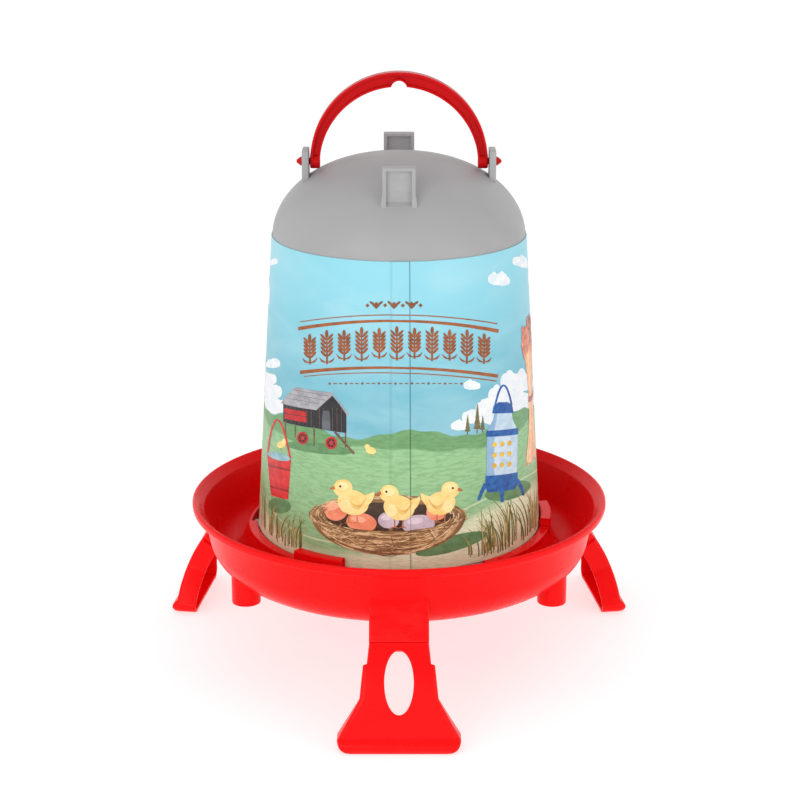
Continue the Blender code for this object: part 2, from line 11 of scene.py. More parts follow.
import bmesh
import bpy
from mathutils import Matrix, Vector


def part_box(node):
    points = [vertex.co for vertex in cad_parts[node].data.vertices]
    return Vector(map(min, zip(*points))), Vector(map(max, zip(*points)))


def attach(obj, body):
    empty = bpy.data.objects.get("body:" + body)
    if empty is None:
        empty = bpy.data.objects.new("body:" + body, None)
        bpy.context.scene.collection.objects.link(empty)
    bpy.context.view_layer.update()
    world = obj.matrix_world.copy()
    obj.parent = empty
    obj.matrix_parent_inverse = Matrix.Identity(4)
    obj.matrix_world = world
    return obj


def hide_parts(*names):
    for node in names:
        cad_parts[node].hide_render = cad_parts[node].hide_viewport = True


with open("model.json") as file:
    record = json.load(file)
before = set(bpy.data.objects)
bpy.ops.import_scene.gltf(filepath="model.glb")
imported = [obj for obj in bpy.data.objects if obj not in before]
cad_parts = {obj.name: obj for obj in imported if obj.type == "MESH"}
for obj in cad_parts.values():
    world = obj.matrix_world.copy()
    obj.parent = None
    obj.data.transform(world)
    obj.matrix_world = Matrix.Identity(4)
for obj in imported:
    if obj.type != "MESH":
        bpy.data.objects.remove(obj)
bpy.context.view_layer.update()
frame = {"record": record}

JOINTS = {joint["name"]: joint for joint in frame["record"]["behaviour"]["joints"]}
PIN_PLACE = JOINTS["bail_hinge"]["pos_m"]
AXIS_Y = PIN_PLACE[1]
PIN_HEIGHT = PIN_PLACE[2]
RIM_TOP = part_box("tray")[1][2]
STUB_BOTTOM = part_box("tray")[0][2]
BELL_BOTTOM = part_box("reservoir")[0][2]
POST_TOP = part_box("reservoir")[1][2]
WRAP_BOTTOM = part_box("label_wrap")[0][2]
WRAP_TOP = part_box("label_wrap")[1][2]
TO_AXIS = Matrix.Translation((0.0, AXIS_Y, 0.0))
TURN_STEPS = 192
SMALL_STEPS = 64
ROUND_STEPS = 5
CORNER_ROOM = 0.48
TINY = 1e-7
SHARP = 32.0
BEVEL_ANGLE = 40.0
SQUARE = (0.0, 0.0, 0.0, 0.0)
THROUGH = 0.0040
SEAM = 4.5
LAP = 7.0
LAP_RAMP = 1.6


# ---------------------------------------------------------------- shapes in the plane

def spread(start, end, count):
    """Return count + 1 evenly spaced values."""
    return [start + (end - start) * index / count for index in range(count + 1)]


def arc(centre, radius, start, end, count):
    """Points of an arc, with angles in degrees."""
    turns = [math.radians(angle) for angle in spread(start, end, count)]
    return [(centre[0] + radius * math.cos(turn), centre[1] + radius * math.sin(turn)) for turn in turns]


def softened(corners, closed=True, steps=ROUND_STEPS):
    """Replace each (x, y, radius) corner of an outline by an arc of that radius."""
    points = []
    count = len(corners)
    for index, (x, y, radius) in enumerate(corners):
        at_end = not closed and index in (0, count - 1)
        if radius <= 0.0 or at_end:
            points.append((x, y))
            continue
        here = Vector((x, y))
        before = Vector(corners[index - 1][:2]) - here
        after = Vector(corners[(index + 1) % count][:2]) - here
        angle = before.angle(after)
        room = CORNER_ROOM * min(before.length, after.length)
        reach = min(radius / math.tan(angle / 2.0), room)
        first = here + before.normalized() * reach
        last = here + after.normalized() * reach
        for share in spread(0.0, 1.0, steps):
            towards = first.lerp(here, share).lerp(here.lerp(last, share), share)
            points.append((towards.x, towards.y))
    return points


def rounded_box(half_x, low_y, high_y, radius, steps=ROUND_STEPS):
    """Outline of a rectangle with round corners, anticlockwise."""
    corners = [(-half_x, low_y), (half_x, low_y), (half_x, high_y), (-half_x, high_y)]
    return softened([(x, y, radius) for x, y in corners], True, steps)


def polar(radius, azimuth, height):
    angle = math.radians(azimuth)
    return Vector((radius * math.sin(angle), -radius * math.cos(angle), height))


# ---------------------------------------------------------------- meshes

def add_loft(mesh, rings, cap=True):
    """Join rings of points into a tube; a ring of one point closes it to a tip."""
    loops = [[mesh.verts.new(point) for point in ring] for ring in rings]
    for lower, upper in zip(loops, loops[1:]):
        size = max(len(lower), len(upper))
        for index in range(size):
            after = (index + 1) % size
            if len(lower) == 1:
                mesh.faces.new((lower[0], upper[after], upper[index]))
            elif len(upper) == 1:
                mesh.faces.new((lower[index], lower[after], upper[0]))
            else:
                mesh.faces.new((lower[index], lower[after], upper[after], upper[index]))
    if cap:
        for loop in (loops[0], loops[-1]):
            if len(loop) > 2:
                mesh.faces.new(loop)


def add_turned(mesh, profile, matrix=Matrix(), steps=TURN_STEPS):
    """Turn (radius, height) points about the Z axis of the matrix."""
    rings = []
    on_axis = min(profile[0][0], profile[-1][0]) <= 0.0
    for radius, height in profile if on_axis else profile + profile[:1]:
        count = steps if radius > TINY else 1
        turns = [math.tau * step / steps for step in range(count)]
        rings.append([matrix @ Vector((radius * math.cos(t), radius * math.sin(t), height)) for t in turns])
    add_loft(mesh, rings, cap=False)
    bmesh.ops.remove_doubles(mesh, verts=mesh.verts, dist=TINY)


def add_sector(mesh, section, span, step=1.0, end_round=0.0012):
    """Sweep a (radius, height) outline about the axis, with softened ends."""
    middle = Vector([sum(values) / len(section) for values in zip(*section)])
    size = max((Vector(point) - middle).length for point in section)
    ends = []
    for share in spread(0.0, 1.0, 4):
        inset = end_round * (1.0 - math.sin(share * math.pi / 2.0))
        grow = 1.0 - end_round * (1.0 - math.cos((1.0 - share) * math.pi / 2.0)) / size
        ends.append((math.degrees(inset / middle.x), grow))
    stations = [(span[0] + inset, grow) for inset, grow in ends]
    inner = (stations[-1][0], span[1] - ends[-1][0])
    stations += [(azimuth, 1.0) for azimuth in spread(*inner,
                                                      max(2, round((inner[1] - inner[0]) / step)))[1:-1]]
    stations += [(span[1] - inset, grow) for inset, grow in reversed(ends)]
    rings = []
    for azimuth, grow in stations:
        ring = [middle + (Vector(point) - middle) * grow for point in section]
        rings.append([polar(point.x, azimuth, point.y) for point in ring])
    add_loft(mesh, rings)


def make_object(name, mesh, matrix=TO_AXIS, sharp=SHARP):
    """Turn a bmesh into a smooth-shaded object of the scene."""
    bmesh.ops.recalc_face_normals(mesh, faces=mesh.faces)
    data = bpy.data.meshes.new(name)
    mesh.to_mesh(data)
    mesh.free()
    data.shade_smooth()
    data.set_sharp_from_angle(angle=math.radians(sharp))
    result = bpy.data.objects.new(name, data)
    result.matrix_world = matrix
    bpy.context.scene.collection.objects.link(result)
    return result


def settle(piece):
    """Replace a piece's mesh by the result of its modifiers."""
    bpy.context.view_layer.update()
    evaluated = piece.evaluated_get(bpy.context.evaluated_depsgraph_get())
    piece.data = bpy.data.meshes.new_from_object(evaluated)
    piece.modifiers.clear()
    piece.data.shade_smooth()
    piece.data.set_sharp_from_angle(angle=math.radians(SHARP))


def carve(piece, *tools):
    """Cut tools, given as bmeshes in the piece's own frame, from a piece."""
    cutters = []
    for tool in tools:
        cutter = make_object(piece.name + "_cutter", tool, piece.matrix_world)
        change = piece.modifiers.new("cut", "BOOLEAN")
        change.operation = "DIFFERENCE"
        change.solver = "EXACT"
        change.object = cutter
        cutters.append(cutter)
    settle(piece)
    for cutter in cutters:
        bpy.data.objects.remove(cutter)


def bevel(piece, width):
    """Round every edge of a piece that is sharper than BEVEL_ANGLE."""
    change = piece.modifiers.new("round", "BEVEL")
    change.width = width
    change.segments = 3
    change.limit_method = "ANGLE"
    change.angle_limit = math.radians(BEVEL_ANGLE)
    settle(piece)


def add_box(mesh, low, high):
    size = [top - bottom for bottom, top in zip(low, high)]
    middle = [(top + bottom) / 2.0 for bottom, top in zip(low, high)]
    bmesh.ops.create_cube(mesh, size=1.0, matrix=Matrix.Translation(middle) @ Matrix.Diagonal((*size, 1.0)))


# ---------------------------------------------------------------- materials

class Paint:
    """A material's nodes, written as short expressions."""

    def __init__(self, name):
        self.material = bpy.data.materials.new(name)
        self.material.use_nodes = True
        self.tree = self.material.node_tree
        self.shader = self.tree.nodes["Principled BSDF"]
        place = self.tree.nodes.new("ShaderNodeTexCoord")
        self.place = place.outputs["Object"]

    def link(self, value, socket):
        if isinstance(value, bpy.types.NodeSocket):
            self.tree.links.new(value, socket)
        else:
            socket.default_value = value

    def math(self, operation, first, second=0.0, third=0.0):
        node = self.tree.nodes.new("ShaderNodeMath")
        node.operation = operation
        for value, socket in zip((first, second, third), node.inputs):
            self.link(value, socket)
        return node.outputs[0]

    def mix(self, share, first, second, blend="MIX"):
        node = self.tree.nodes.new("ShaderNodeMix")
        node.data_type = "RGBA"
        node.blend_type = blend
        self.link(share, node.inputs[0])
        for value, socket in ((first, node.inputs[6]), (second, node.inputs[7])):
            self.link(value, socket)
        return node.outputs[2]

    def ramp(self, value, low, high, start=0.0, end=1.0):
        """Map value from low..high to start..end, smoothly and within those limits."""
        node = self.tree.nodes.new("ShaderNodeMapRange")
        node.interpolation_type = "SMOOTHSTEP"
        for number, socket in zip((value, low, high, start, end), node.inputs):
            self.link(number, socket)
        return node.outputs[0]

    def noise(self, scale, detail=3.0, roughness=0.55, stretch=(1.0, 1.0, 1.0), distortion=0.0):
        mapping = self.tree.nodes.new("ShaderNodeMapping")
        mapping.inputs["Scale"].default_value = stretch
        self.link(self.place, mapping.inputs["Vector"])
        node = self.tree.nodes.new("ShaderNodeTexNoise")
        self.link(mapping.outputs[0], node.inputs["Vector"])
        node.inputs["Scale"].default_value = scale
        node.inputs["Detail"].default_value = detail
        node.inputs["Roughness"].default_value = roughness
        node.inputs["Distortion"].default_value = distortion
        return node.outputs["Fac"]

    def edges(self, low, high):
        """1 along outward edges of the mesh, 0 on its flats."""
        geometry = self.tree.nodes.new("ShaderNodeNewGeometry")
        return self.ramp(geometry.outputs["Pointiness"], low, high)

    def axes(self):
        node = self.tree.nodes.new("ShaderNodeSeparateXYZ")
        self.link(self.place, node.inputs[0])
        return node.outputs

    def bump(self, height, strength, distance):
        node = self.tree.nodes.new("ShaderNodeBump")
        node.inputs["Strength"].default_value = strength
        node.inputs["Distance"].default_value = distance
        self.link(height, node.inputs["Height"])
        self.link(node.outputs[0], self.shader.inputs["Normal"])

    def finish(self, colour, roughness, specular):
        self.link(colour, self.shader.inputs["Base Color"])
        self.link(roughness, self.shader.inputs["Roughness"])
        self.shader.inputs["Specular IOR Level"].default_value = specular
        return self.material


def moulded_plastic(name, colour, worn, shade, roughness, grain, specular):
    """Injection-moulded plastic: faint flow marks, scuffs, a fine grain and paler worn edges."""
    paint = Paint(name)
    flow = paint.noise(9.0, 3.0, 0.5, (1.0, 1.0, 2.6), 0.6)
    base = paint.mix(paint.ramp(flow, 0.35, 0.68), (*shade, 1.0), (*colour, 1.0))
    scuff = paint.noise(60.0, 6.0, 0.7, (1.0, 1.0, 3.0))
    rubbed = paint.math("MULTIPLY", paint.edges(0.53, 0.60), paint.ramp(scuff, 0.42, 0.62))
    base = paint.mix(paint.math("MULTIPLY", rubbed, 0.22), base, (*worn, 1.0))
    dull = paint.ramp(paint.noise(24.0, 5.0, 0.65), 0.3, 0.75, roughness - 0.05, roughness + 0.10)
    dull = paint.math("ADD", dull, paint.math("MULTIPLY", rubbed, 0.15))
    fine = paint.noise(grain, 2.0, 0.5)
    ripple = paint.math("MULTIPLY", paint.noise(26.0, 2.0, 0.5), 2.2)
    paint.bump(paint.math("ADD", fine, ripple), 0.22, 0.00016)
    return paint.finish(base, dull, specular)


INK_ROUGHNESS = 0.42
INK_DARKER = 0.72


def printed_ink(name, first, second, scale):
    """Ink of two 0..255 display colours, with the soft unevenness of a painted picture."""
    paint = Paint(name)
    colour = linear(*first)
    wash = paint.ramp(paint.noise(scale, 4.0, 0.6, (1.0, 1.0, 1.6)), 0.36, 0.66)
    fleck = paint.ramp(paint.noise(scale * 9.0, 2.0, 0.5), 0.45, 0.72, 0.0, 0.22)
    base = paint.mix(wash, colour, linear(*second))
    base = paint.mix(fleck, base, tuple(value * INK_DARKER for value in colour[:3]) + (1.0,))
    rough = paint.ramp(paint.noise(140.0, 3.0), 0.3, 0.7, INK_ROUGHNESS - 0.05, INK_ROUGHNESS + 0.07)
    paint.bump(paint.noise(900.0, 2.0), 0.06, 0.00005)
    return paint.finish(base, rough, 0.4)


SKYLINE = 0.0805
SKYLINE_WAVES = ((0.0040, 7.0, 0.96), (0.0007, 29.0, 0.0))


def skyline(azimuth):
    """Height of the far hill over the rim, in millimetres, at an azimuth in degrees."""
    turn = math.radians(azimuth)
    return 1000.0 * (SKYLINE + sum(size * math.sin(rate * turn + shift) for size, rate,
                                   shift in SKYLINE_WAVES))


def landscape_print():
    """The wrap's painted ground: sky, two lines of hills and a meadow that pales to sand, with painted shade
    along the seam and the lap's ramp.
    """
    paint = Paint("landscape_print")
    x, y, z = paint.axes()
    azimuth = paint.math("ARCTAN2", x, paint.math("MULTIPLY", y, -1.0))
    height = paint.math("SUBTRACT", z, RIM_TOP)

    def ridge(level, *waves):
        line = level
        for size, rate, shift in waves:
            turn = paint.math("MULTIPLY_ADD", azimuth, rate, shift)
            line = paint.math("MULTIPLY_ADD", paint.math("SINE", turn), size, line)
        return line

    def above(line, soft):
        return paint.ramp(paint.math("SUBTRACT", height, line), -soft, soft)

    cloudy = paint.ramp(paint.noise(13.0, 4.0, 0.55, (1.0, 1.0, 2.8), 0.5), 0.36, 0.70)
    sky = paint.mix(paint.ramp(height, 0.07, 0.20), SKY_LOW, SKY_HIGH)
    sky = paint.mix(paint.math("MULTIPLY", cloudy, 0.38), sky, SKY_HAZE)
    grain = paint.noise(120.0, 5.0, 0.65, (1.0, 1.0, 5.0), 0.3)
    far = paint.mix(paint.ramp(grain, 0.38, 0.62), FAR_HILL, FAR_HILL_DARK)
    near = paint.mix(paint.ramp(grain, 0.40, 0.64), MEADOW, MEADOW_DARK)
    blades = paint.noise(150.0, 5.0, 0.7, (1.0, 1.0, 7.0), 0.5)
    sand = paint.mix(paint.ramp(blades, 0.38, 0.62), SAND, SAND_DARK)
    sand_line = ridge(0.004, (0.017, 2.0, -0.4))
    front = paint.mix(above(sand_line, 0.006), sand, near)
    track = paint.math("ABSOLUTE", paint.math("SUBTRACT", height, paint.math("ADD", sand_line, 0.009)))
    front = paint.mix(paint.ramp(track, 0.0, 0.0011, 0.55, 0.0), front, SAND)
    far_line = ridge(SKYLINE, *SKYLINE_WAVES)
    near_line = ridge(0.0685, (0.0026, 4.0, 2.2), (0.0008, 17.0, 0.0))
    ground = paint.mix(above(near_line, 0.0012), front, far)
    picture = paint.mix(above(far_line, 0.0005), ground, sky)
    turn = paint.math("MULTIPLY", azimuth, math.degrees(1.0))
    # Painted shade: a dark line along the seam, where the film's free end steps down onto its start, and a
    # faint band of painted shade along the lap's ramp.
    edge = paint.math("ABSOLUTE", paint.math("SUBTRACT", turn, SEAM))
    picture = paint.mix(paint.ramp(edge, 0.10, 0.34, 0.62, 0.0), picture, SEAM_PAINTED_SHADE, "MULTIPLY")
    under = paint.math("ABSOLUTE", paint.math("SUBTRACT", turn, SEAM - LAP - LAP_RAMP / 2.0))
    picture = paint.mix(paint.ramp(under, 0.0, 1.1, 0.34, 0.0), picture, LAP_PAINTED_SHADE, "MULTIPLY")
    rough = paint.ramp(paint.noise(40.0, 4.0), 0.3, 0.7, 0.34, 0.46)
    paint.bump(paint.math("ADD", paint.noise(700.0, 2.0), paint.noise(14.0, 2.0)), 0.08, 0.0001)
    return paint.finish(picture, rough, 0.45)


def linear(red, green, blue, alpha=1.0):
    """Linear colour of an 0..255 display colour."""
    values = []
    for value in (red, green, blue):
        share = value / 255.0
        values.append(share / 12.92 if share <= 0.04045 else ((share + 0.055) / 1.055) ** 2.4)
    return (*values, alpha)


SKY_HIGH = linear(138, 206, 221)
SKY_LOW = linear(104, 172, 189)
SKY_HAZE = linear(172, 215, 226)
FAR_HILL = linear(114, 162, 108)
FAR_HILL_DARK = linear(98, 146, 94)
MEADOW = linear(150, 195, 142)
MEADOW_DARK = linear(130, 176, 124)
SAND = linear(236, 243, 210)
SAND_DARK = linear(208, 223, 180)
# Colours of the painted shade at the seam and at the lap's ramp.
SEAM_PAINTED_SHADE = linear(70, 96, 110)
LAP_PAINTED_SHADE = linear(196, 208, 216)


# ---------------------------------------------------------------- tray

LIP_HEIGHT = 0.0060
TROUGH_FLOOR = RIM_TOP - 0.0498
UNDERSIDE = RIM_TOP - 0.0545
COLLAR_TOP = RIM_TOP - 0.0225
SEAT = RIM_TOP - 0.0340
RIM_RADIUS = 0.1600
WALL_TOP_RADIUS = 0.1522
WALL_FOOT_RADIUS = 0.1475
CORNER = 0.0280
WALL = 0.0025
CORE_DEPTH = 0.0012
HOLLOW_RADII = (0.1190, 0.1240)
COLLAR_FOOT_RADIUS = 0.1280
COLLAR_TOP_RADIUS = 0.1168
BORE_RADIUS = 0.1145
CORNER_CENTRE = (WALL_FOOT_RADIUS - CORNER, UNDERSIDE + CORNER)
LEAN = math.degrees(math.atan2(WALL_TOP_RADIUS - WALL_FOOT_RADIUS, RIM_TOP - LIP_HEIGHT - UNDERSIDE))
BAYONET_TURNS = (0.0, 120.0, 240.0)
PORT_HALF_SPAN = 9.0
PORT_HEIGHTS = (SEAT + 0.0006, SEAT + 0.0050)
HOOK_SPAN = (34.0, 79.2)
HOOK_RADII = (0.1101, 0.1174)
HOOK_HEIGHTS = (RIM_TOP - 0.0243, RIM_TOP - 0.0200)
STOP_SPAN = (-41.0, -21.0)
STOP_TOP = RIM_TOP - 0.0130
STUB_AZIMUTHS = (60.0, 180.0, 300.0)
STUB_CIRCLE = 0.1330
STUB_RADIUS = 0.0109
LEG_PLACES = {"leg_front": (0.0, 0.0), "leg_rear_left": (-120.0, -97.0), "leg_rear_right": (120.0, 97.0)}


def tray_profile():
    """Half section of the tray, from the axis under the seat round the rim to the axis on the seat."""
    lip = RIM_TOP - LIP_HEIGHT
    below = SEAT - WALL
    outside = [(0.0, below, 0.0), (HOLLOW_RADII[0], below, 0.0010),
               (HOLLOW_RADII[1], UNDERSIDE + 0.0006, 0.0003)]
    outside += [(*point, 0.0) for point in arc(CORNER_CENTRE, CORNER, -78.0, -LEAN, 22)]
    outside += [(WALL_TOP_RADIUS, lip - 0.0022, 0.0016), (RIM_RADIUS - 0.0006, lip - 0.0002, 0.0012)]
    outside += [(RIM_RADIUS, lip + 0.0016, 0.0014), (RIM_RADIUS, RIM_TOP - 0.0012, 0.0016)]
    outside += [(RIM_RADIUS - 0.0022, RIM_TOP, 0.0014), (WALL_TOP_RADIUS + 0.0030, RIM_TOP - 0.0022, 0.0040)]
    outside += [(WALL_TOP_RADIUS - 0.0012, RIM_TOP - 0.0064, 0.0030)]
    outside += [(WALL_TOP_RADIUS - WALL, RIM_TOP - 0.0115, 0.0040)]
    inside = [(*point, 0.0) for point in arc(CORNER_CENTRE, CORNER - WALL, -6.0, -62.0, 16)]
    inside += [(COLLAR_FOOT_RADIUS + 0.0012, TROUGH_FLOOR, 0.0020)]
    inside += [(COLLAR_FOOT_RADIUS - 0.0010, TROUGH_FLOOR + 0.0030, 0.0030)]
    inside += [(COLLAR_TOP_RADIUS, COLLAR_TOP, 0.0008), (BORE_RADIUS, COLLAR_TOP, 0.0008)]
    inside += [(BORE_RADIUS, SEAT, 0.0006), (0.0, SEAT, 0.0)]
    return softened(outside + inside, closed=False)


def wall_core():
    """A filled shape that ends inside the tray's wall, for cutting what is joined to the outside."""
    core = bmesh.new()
    profile = [(0.0, UNDERSIDE + CORE_DEPTH)] + arc(CORNER_CENTRE, CORNER - CORE_DEPTH, -90.0, -LEAN, 22)
    profile += [(WALL_TOP_RADIUS - CORE_DEPTH, RIM_TOP), (0.0, RIM_TOP)]
    add_turned(core, profile)
    return core


def leg_frame(azimuth, direction):
    """Matrix that carries the front leg's points to a leg's place."""
    mouth = leg_point(SOCKET_TILT, 0.0, 0.0)
    home = Matrix.Translation(polar(-mouth.y, azimuth, mouth.z))
    return home @ Matrix.Rotation(math.radians(direction), 4, "Z") @ Matrix.Translation(-mouth)


def plug_ring(half, depths, distance, corner, inset=0.0):
    """Rounded section of a plug or socket at a distance out of the socket's mouth."""
    turn = math.radians(SOCKET_TILT)
    along = Vector((0.0, -math.sin(turn), -math.cos(turn))) * distance
    outline = rounded_box(half - inset, depths[0] + inset, depths[1] - inset, corner, 4)
    return [leg_point(SOCKET_TILT, lateral, depth) + along for lateral, depth in outline]


def plug_loft(home, half, depths, stations, corner):
    """A rounded bar along a socket's axis, through (distance, inset) stations."""
    mesh = bmesh.new()
    rings = [plug_ring(half, depths, distance, corner, inset) for distance, inset in stations]
    add_loft(mesh, [[home @ point for point in ring] for ring in rings])
    return mesh


def block_section(radii, heights, rounds):
    """Rounded (radius, height) outline of a block, with a rounding for each of its four corners."""
    corners = ((radii[0], heights[0]), (radii[1], heights[0]), (radii[1], heights[1]), (radii[0], heights[1]))
    return softened([(*corner, soft) for corner, soft in zip(corners, rounds)])


def make_tray(red):
    bowl = bmesh.new()
    add_turned(bowl, tray_profile())
    bowl = make_object("tray_bowl", bowl)
    ports = bmesh.new()
    slot = block_section((BORE_RADIUS - THROUGH, COLLAR_FOOT_RADIUS), PORT_HEIGHTS, SQUARE)
    hooks = bmesh.new()
    hook = block_section(HOOK_RADII, HOOK_HEIGHTS, (0.0006, 0.0006, 0.0012, 0.0010))
    stops = bmesh.new()
    block = softened([(0.1101, SEAT - 0.0010, 0.0004), (0.1185, SEAT - 0.0010, 0.0004),
                      (0.1183, STOP_TOP, 0.0012), (0.1103, STOP_TOP, 0.0010)])
    for turn in BAYONET_TURNS:
        add_sector(ports, slot, (turn - PORT_HALF_SPAN, turn + PORT_HALF_SPAN), 2.0, 0.0005)
        add_sector(hooks, hook, (turn + HOOK_SPAN[0], turn + HOOK_SPAN[1]))
        add_sector(stops, block, (turn + STOP_SPAN[0], turn + STOP_SPAN[1]))
    carve(bowl, ports)
    pieces = [bowl, make_object("tray_hooks", hooks), make_object("tray_stops", stops)]
    for name, (azimuth, direction) in LEG_PLACES.items():
        home = leg_frame(azimuth, direction)
        sleeve = plug_loft(home, NECK_HALF, (0.0, NECK_DEPTH), SLEEVE_STATIONS, 0.0016)
        cavity = plug_loft(home, CAVITY_HALF, CAVITY_DEPTHS, CAVITY_STATIONS, 0.0008)
        socket = make_object("tray_socket_" + name[4:], sleeve)
        carve(socket, wall_core(), cavity)
        pieces.append(socket)
    roof = UNDERSIDE - 0.0020
    top = TROUGH_FLOOR + 0.0120
    outline = softened([(0.0, roof, 0.0), (0.0081, roof, 0.0010), (0.0083, STUB_BOTTOM, 0.0005),
                        (STUB_RADIUS, STUB_BOTTOM, 0.0008), (STUB_RADIUS, top, 0.0), (0.0, top, 0.0)],
                       closed=False)
    for index, azimuth in enumerate(STUB_AZIMUTHS):
        stub = bmesh.new()
        add_turned(stub, outline, Matrix.Translation(polar(STUB_CIRCLE, azimuth, 0.0)), SMALL_STEPS)
        foot = make_object("tray_stub_foot_%d" % (index + 1), stub)
        carve(foot, wall_core())
        pieces.append(foot)
    for piece in pieces:
        dress(piece, red, "tray")
        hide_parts("tray")


def dress(piece, material, body):
    """Give a piece its material and its body."""
    piece.data.materials.clear()
    piece.data.materials.append(material)
    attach(piece, body)


# ---------------------------------------------------------------- legs

LEG_ARC_RADIUS = 0.1005
LEG_ARC_CENTRE = 0.0995
SOCKET_TILT = 45.0
FLANGE_TILT = 36.0
KNEE_TILT = 22.0
FOOT_WIDE_TILT = 5.0
WINDOW_TILTS = (41.8, 15.5)
NECK_DEPTH = 0.0125
FLANGE_DEPTH = 0.0160
LEG_WALL = 0.0026
LEG_CORNER = 0.0035
TOE_PROUD = 0.0040
TOE_HEIGHT = 0.0110
NECK_HALF = 0.0213
KNEE_HALF = 0.0278
FOOT_HALF = 0.0437
SOLE_INSET = 0.0067
WINDOW_HALF = 0.0103
# (depth, growth) of the window's outline, from outside the leg's face to behind its wall
WINDOW_EDGE = ((-0.0040, 0.0050), (0.0, 0.0008), (0.0004, 0.0002), (0.0010, 0.0), (0.0022, 0.0),
               (0.0060, 0.0010))
# (distance out of the socket's mouth, inset) of the socket's sleeve, its cavity and the leg's plug
SLEEVE_STATIONS = ((-0.0520, 0.0), (-0.0010, 0.0), (-0.0004, 0.0003), (0.0, 0.0010))
CAVITY_STATIONS = ((-0.0128, 0.0), (0.0050, 0.0))
CAVITY_HALF = 0.0190
CAVITY_DEPTHS = (0.0023, 0.0104)
PLUG_STATIONS = ((0.0030, 0.0), (-0.0105, 0.0), (-0.0115, 0.0004), (-0.0120, 0.0012))
PLUG_HALF = 0.0186
PLUG_DEPTHS = (0.0027, 0.0100)


def leg_point(tilt, lateral, depth, proud=0.0):
    """A point of the front leg: depth is measured inward from its outer face."""
    turn = math.radians(tilt)
    reach = LEG_ARC_RADIUS + proud - depth
    return Vector((lateral, -(LEG_ARC_CENTRE + reach * math.cos(turn)), reach * math.sin(turn)))


def between(value, first, second):
    share = (value - first[0]) / (second[0] - first[0])
    return first[1] + (second[1] - first[1]) * share


def leg_half_width(tilt):
    if tilt > FLANGE_TILT:
        return between(tilt, (SOCKET_TILT, NECK_HALF), (FLANGE_TILT, 0.0228))
    if tilt > KNEE_TILT:
        return between(tilt, (FLANGE_TILT, 0.0254), (KNEE_TILT, KNEE_HALF))
    if tilt > FOOT_WIDE_TILT:
        return between(tilt, (KNEE_TILT, KNEE_HALF), (FOOT_WIDE_TILT, FOOT_HALF))
    drop = 1.0 - tilt / FOOT_WIDE_TILT
    return FOOT_HALF - SOLE_INSET * (1.0 - math.sqrt(max(0.0, 1.0 - drop * drop)))


def toe_proud(tilt):
    """How far the rolled toe stands out of the leg's face."""
    height = LEG_ARC_RADIUS * math.sin(math.radians(tilt))
    if height >= TOE_HEIGHT:
        return 0.0
    return TOE_PROUD * math.sin(math.pi * (height + 0.002) / (TOE_HEIGHT + 0.002))


def leg_section(tilt, hollow):
    """U-shaped section of a leg, open at the back, or a full bar where hollow is 0."""
    half = leg_half_width(tilt)
    back = NECK_DEPTH if tilt > FLANGE_TILT else FLANGE_DEPTH
    wall = LEG_WALL + (back - 0.0002 - LEG_WALL) * (1.0 - hollow)
    side = half - LEG_WALL
    proud = toe_proud(tilt)
    corners = [(-half, back, 0.0009), (-half, 0.0, LEG_CORNER), (half, 0.0, LEG_CORNER), (half, back, 0.0009)]
    corners += [(side, back, 0.0007), (side, wall, 0.0012), (-side, wall, 0.0012), (-side, back, 0.0007)]
    ring = []
    for lateral, depth in softened(corners, True, 6):
        share = 1.0 - min(depth, LEG_CORNER) / LEG_CORNER
        ring.append(leg_point(tilt, lateral, depth, proud * share))
    return ring


def leg_stations():
    """(tilt, hollow) pairs down the leg: solid at the neck's top and at the sole."""
    stations = [(44.8, 0.0), (43.5, 0.0), (43.3, 1.0)]
    stations += [(tilt, 1.0) for tilt in spread(42.6, FLANGE_TILT + 0.35, 7)]
    stations += [(tilt, 1.0) for tilt in spread(FLANGE_TILT - 0.15, KNEE_TILT + 1.2, 12)]
    stations += [(KNEE_TILT + 0.4, 1.0), (KNEE_TILT - 0.4, 1.0)]
    stations += [(tilt, 1.0) for tilt in spread(KNEE_TILT - 1.2, 6.6, 9)]
    stations += [(tilt, 1.0) for tilt in spread(6.2, 1.7, 12)]
    stations += [(tilt, 0.0) for tilt in (1.5, 1.1, 0.7, 0.3, 0.0)]
    return stations


def window_tool(home):
    """The oval window, with a softened outer edge."""
    tool = bmesh.new()
    middle = (WINDOW_TILTS[0] + WINDOW_TILTS[1]) / 2.0
    half = (WINDOW_TILTS[0] - WINDOW_TILTS[1]) / 2.0
    degrees_per_metre = math.degrees(1.0 / LEG_ARC_RADIUS)
    rings = []
    for depth, grow in WINDOW_EDGE:
        ring = []
        for turn in spread(0.0, 360.0, 72)[:-1]:
            angle = math.radians(turn)
            tilt = middle + (half + grow * degrees_per_metre) * math.sin(angle)
            ring.append(home @ leg_point(tilt, (WINDOW_HALF + grow) * math.cos(angle), depth))
        rings.append(ring)
    add_loft(tool, rings)
    return tool


def make_leg(name, azimuth, direction, red):
    home = leg_frame(azimuth, direction)
    channel = bmesh.new()
    add_loft(channel, [[home @ point for point in leg_section(*station)] for station in leg_stations()])
    leg = make_object(name + "_channel", channel)
    carve(leg, window_tool(home))
    plug = make_object(name + "_plug", plug_loft(home, PLUG_HALF, PLUG_DEPTHS, PLUG_STATIONS, 0.0010))
    for piece in (leg, plug):
        dress(piece, red, name)
        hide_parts(name)


# ---------------------------------------------------------------- reservoir

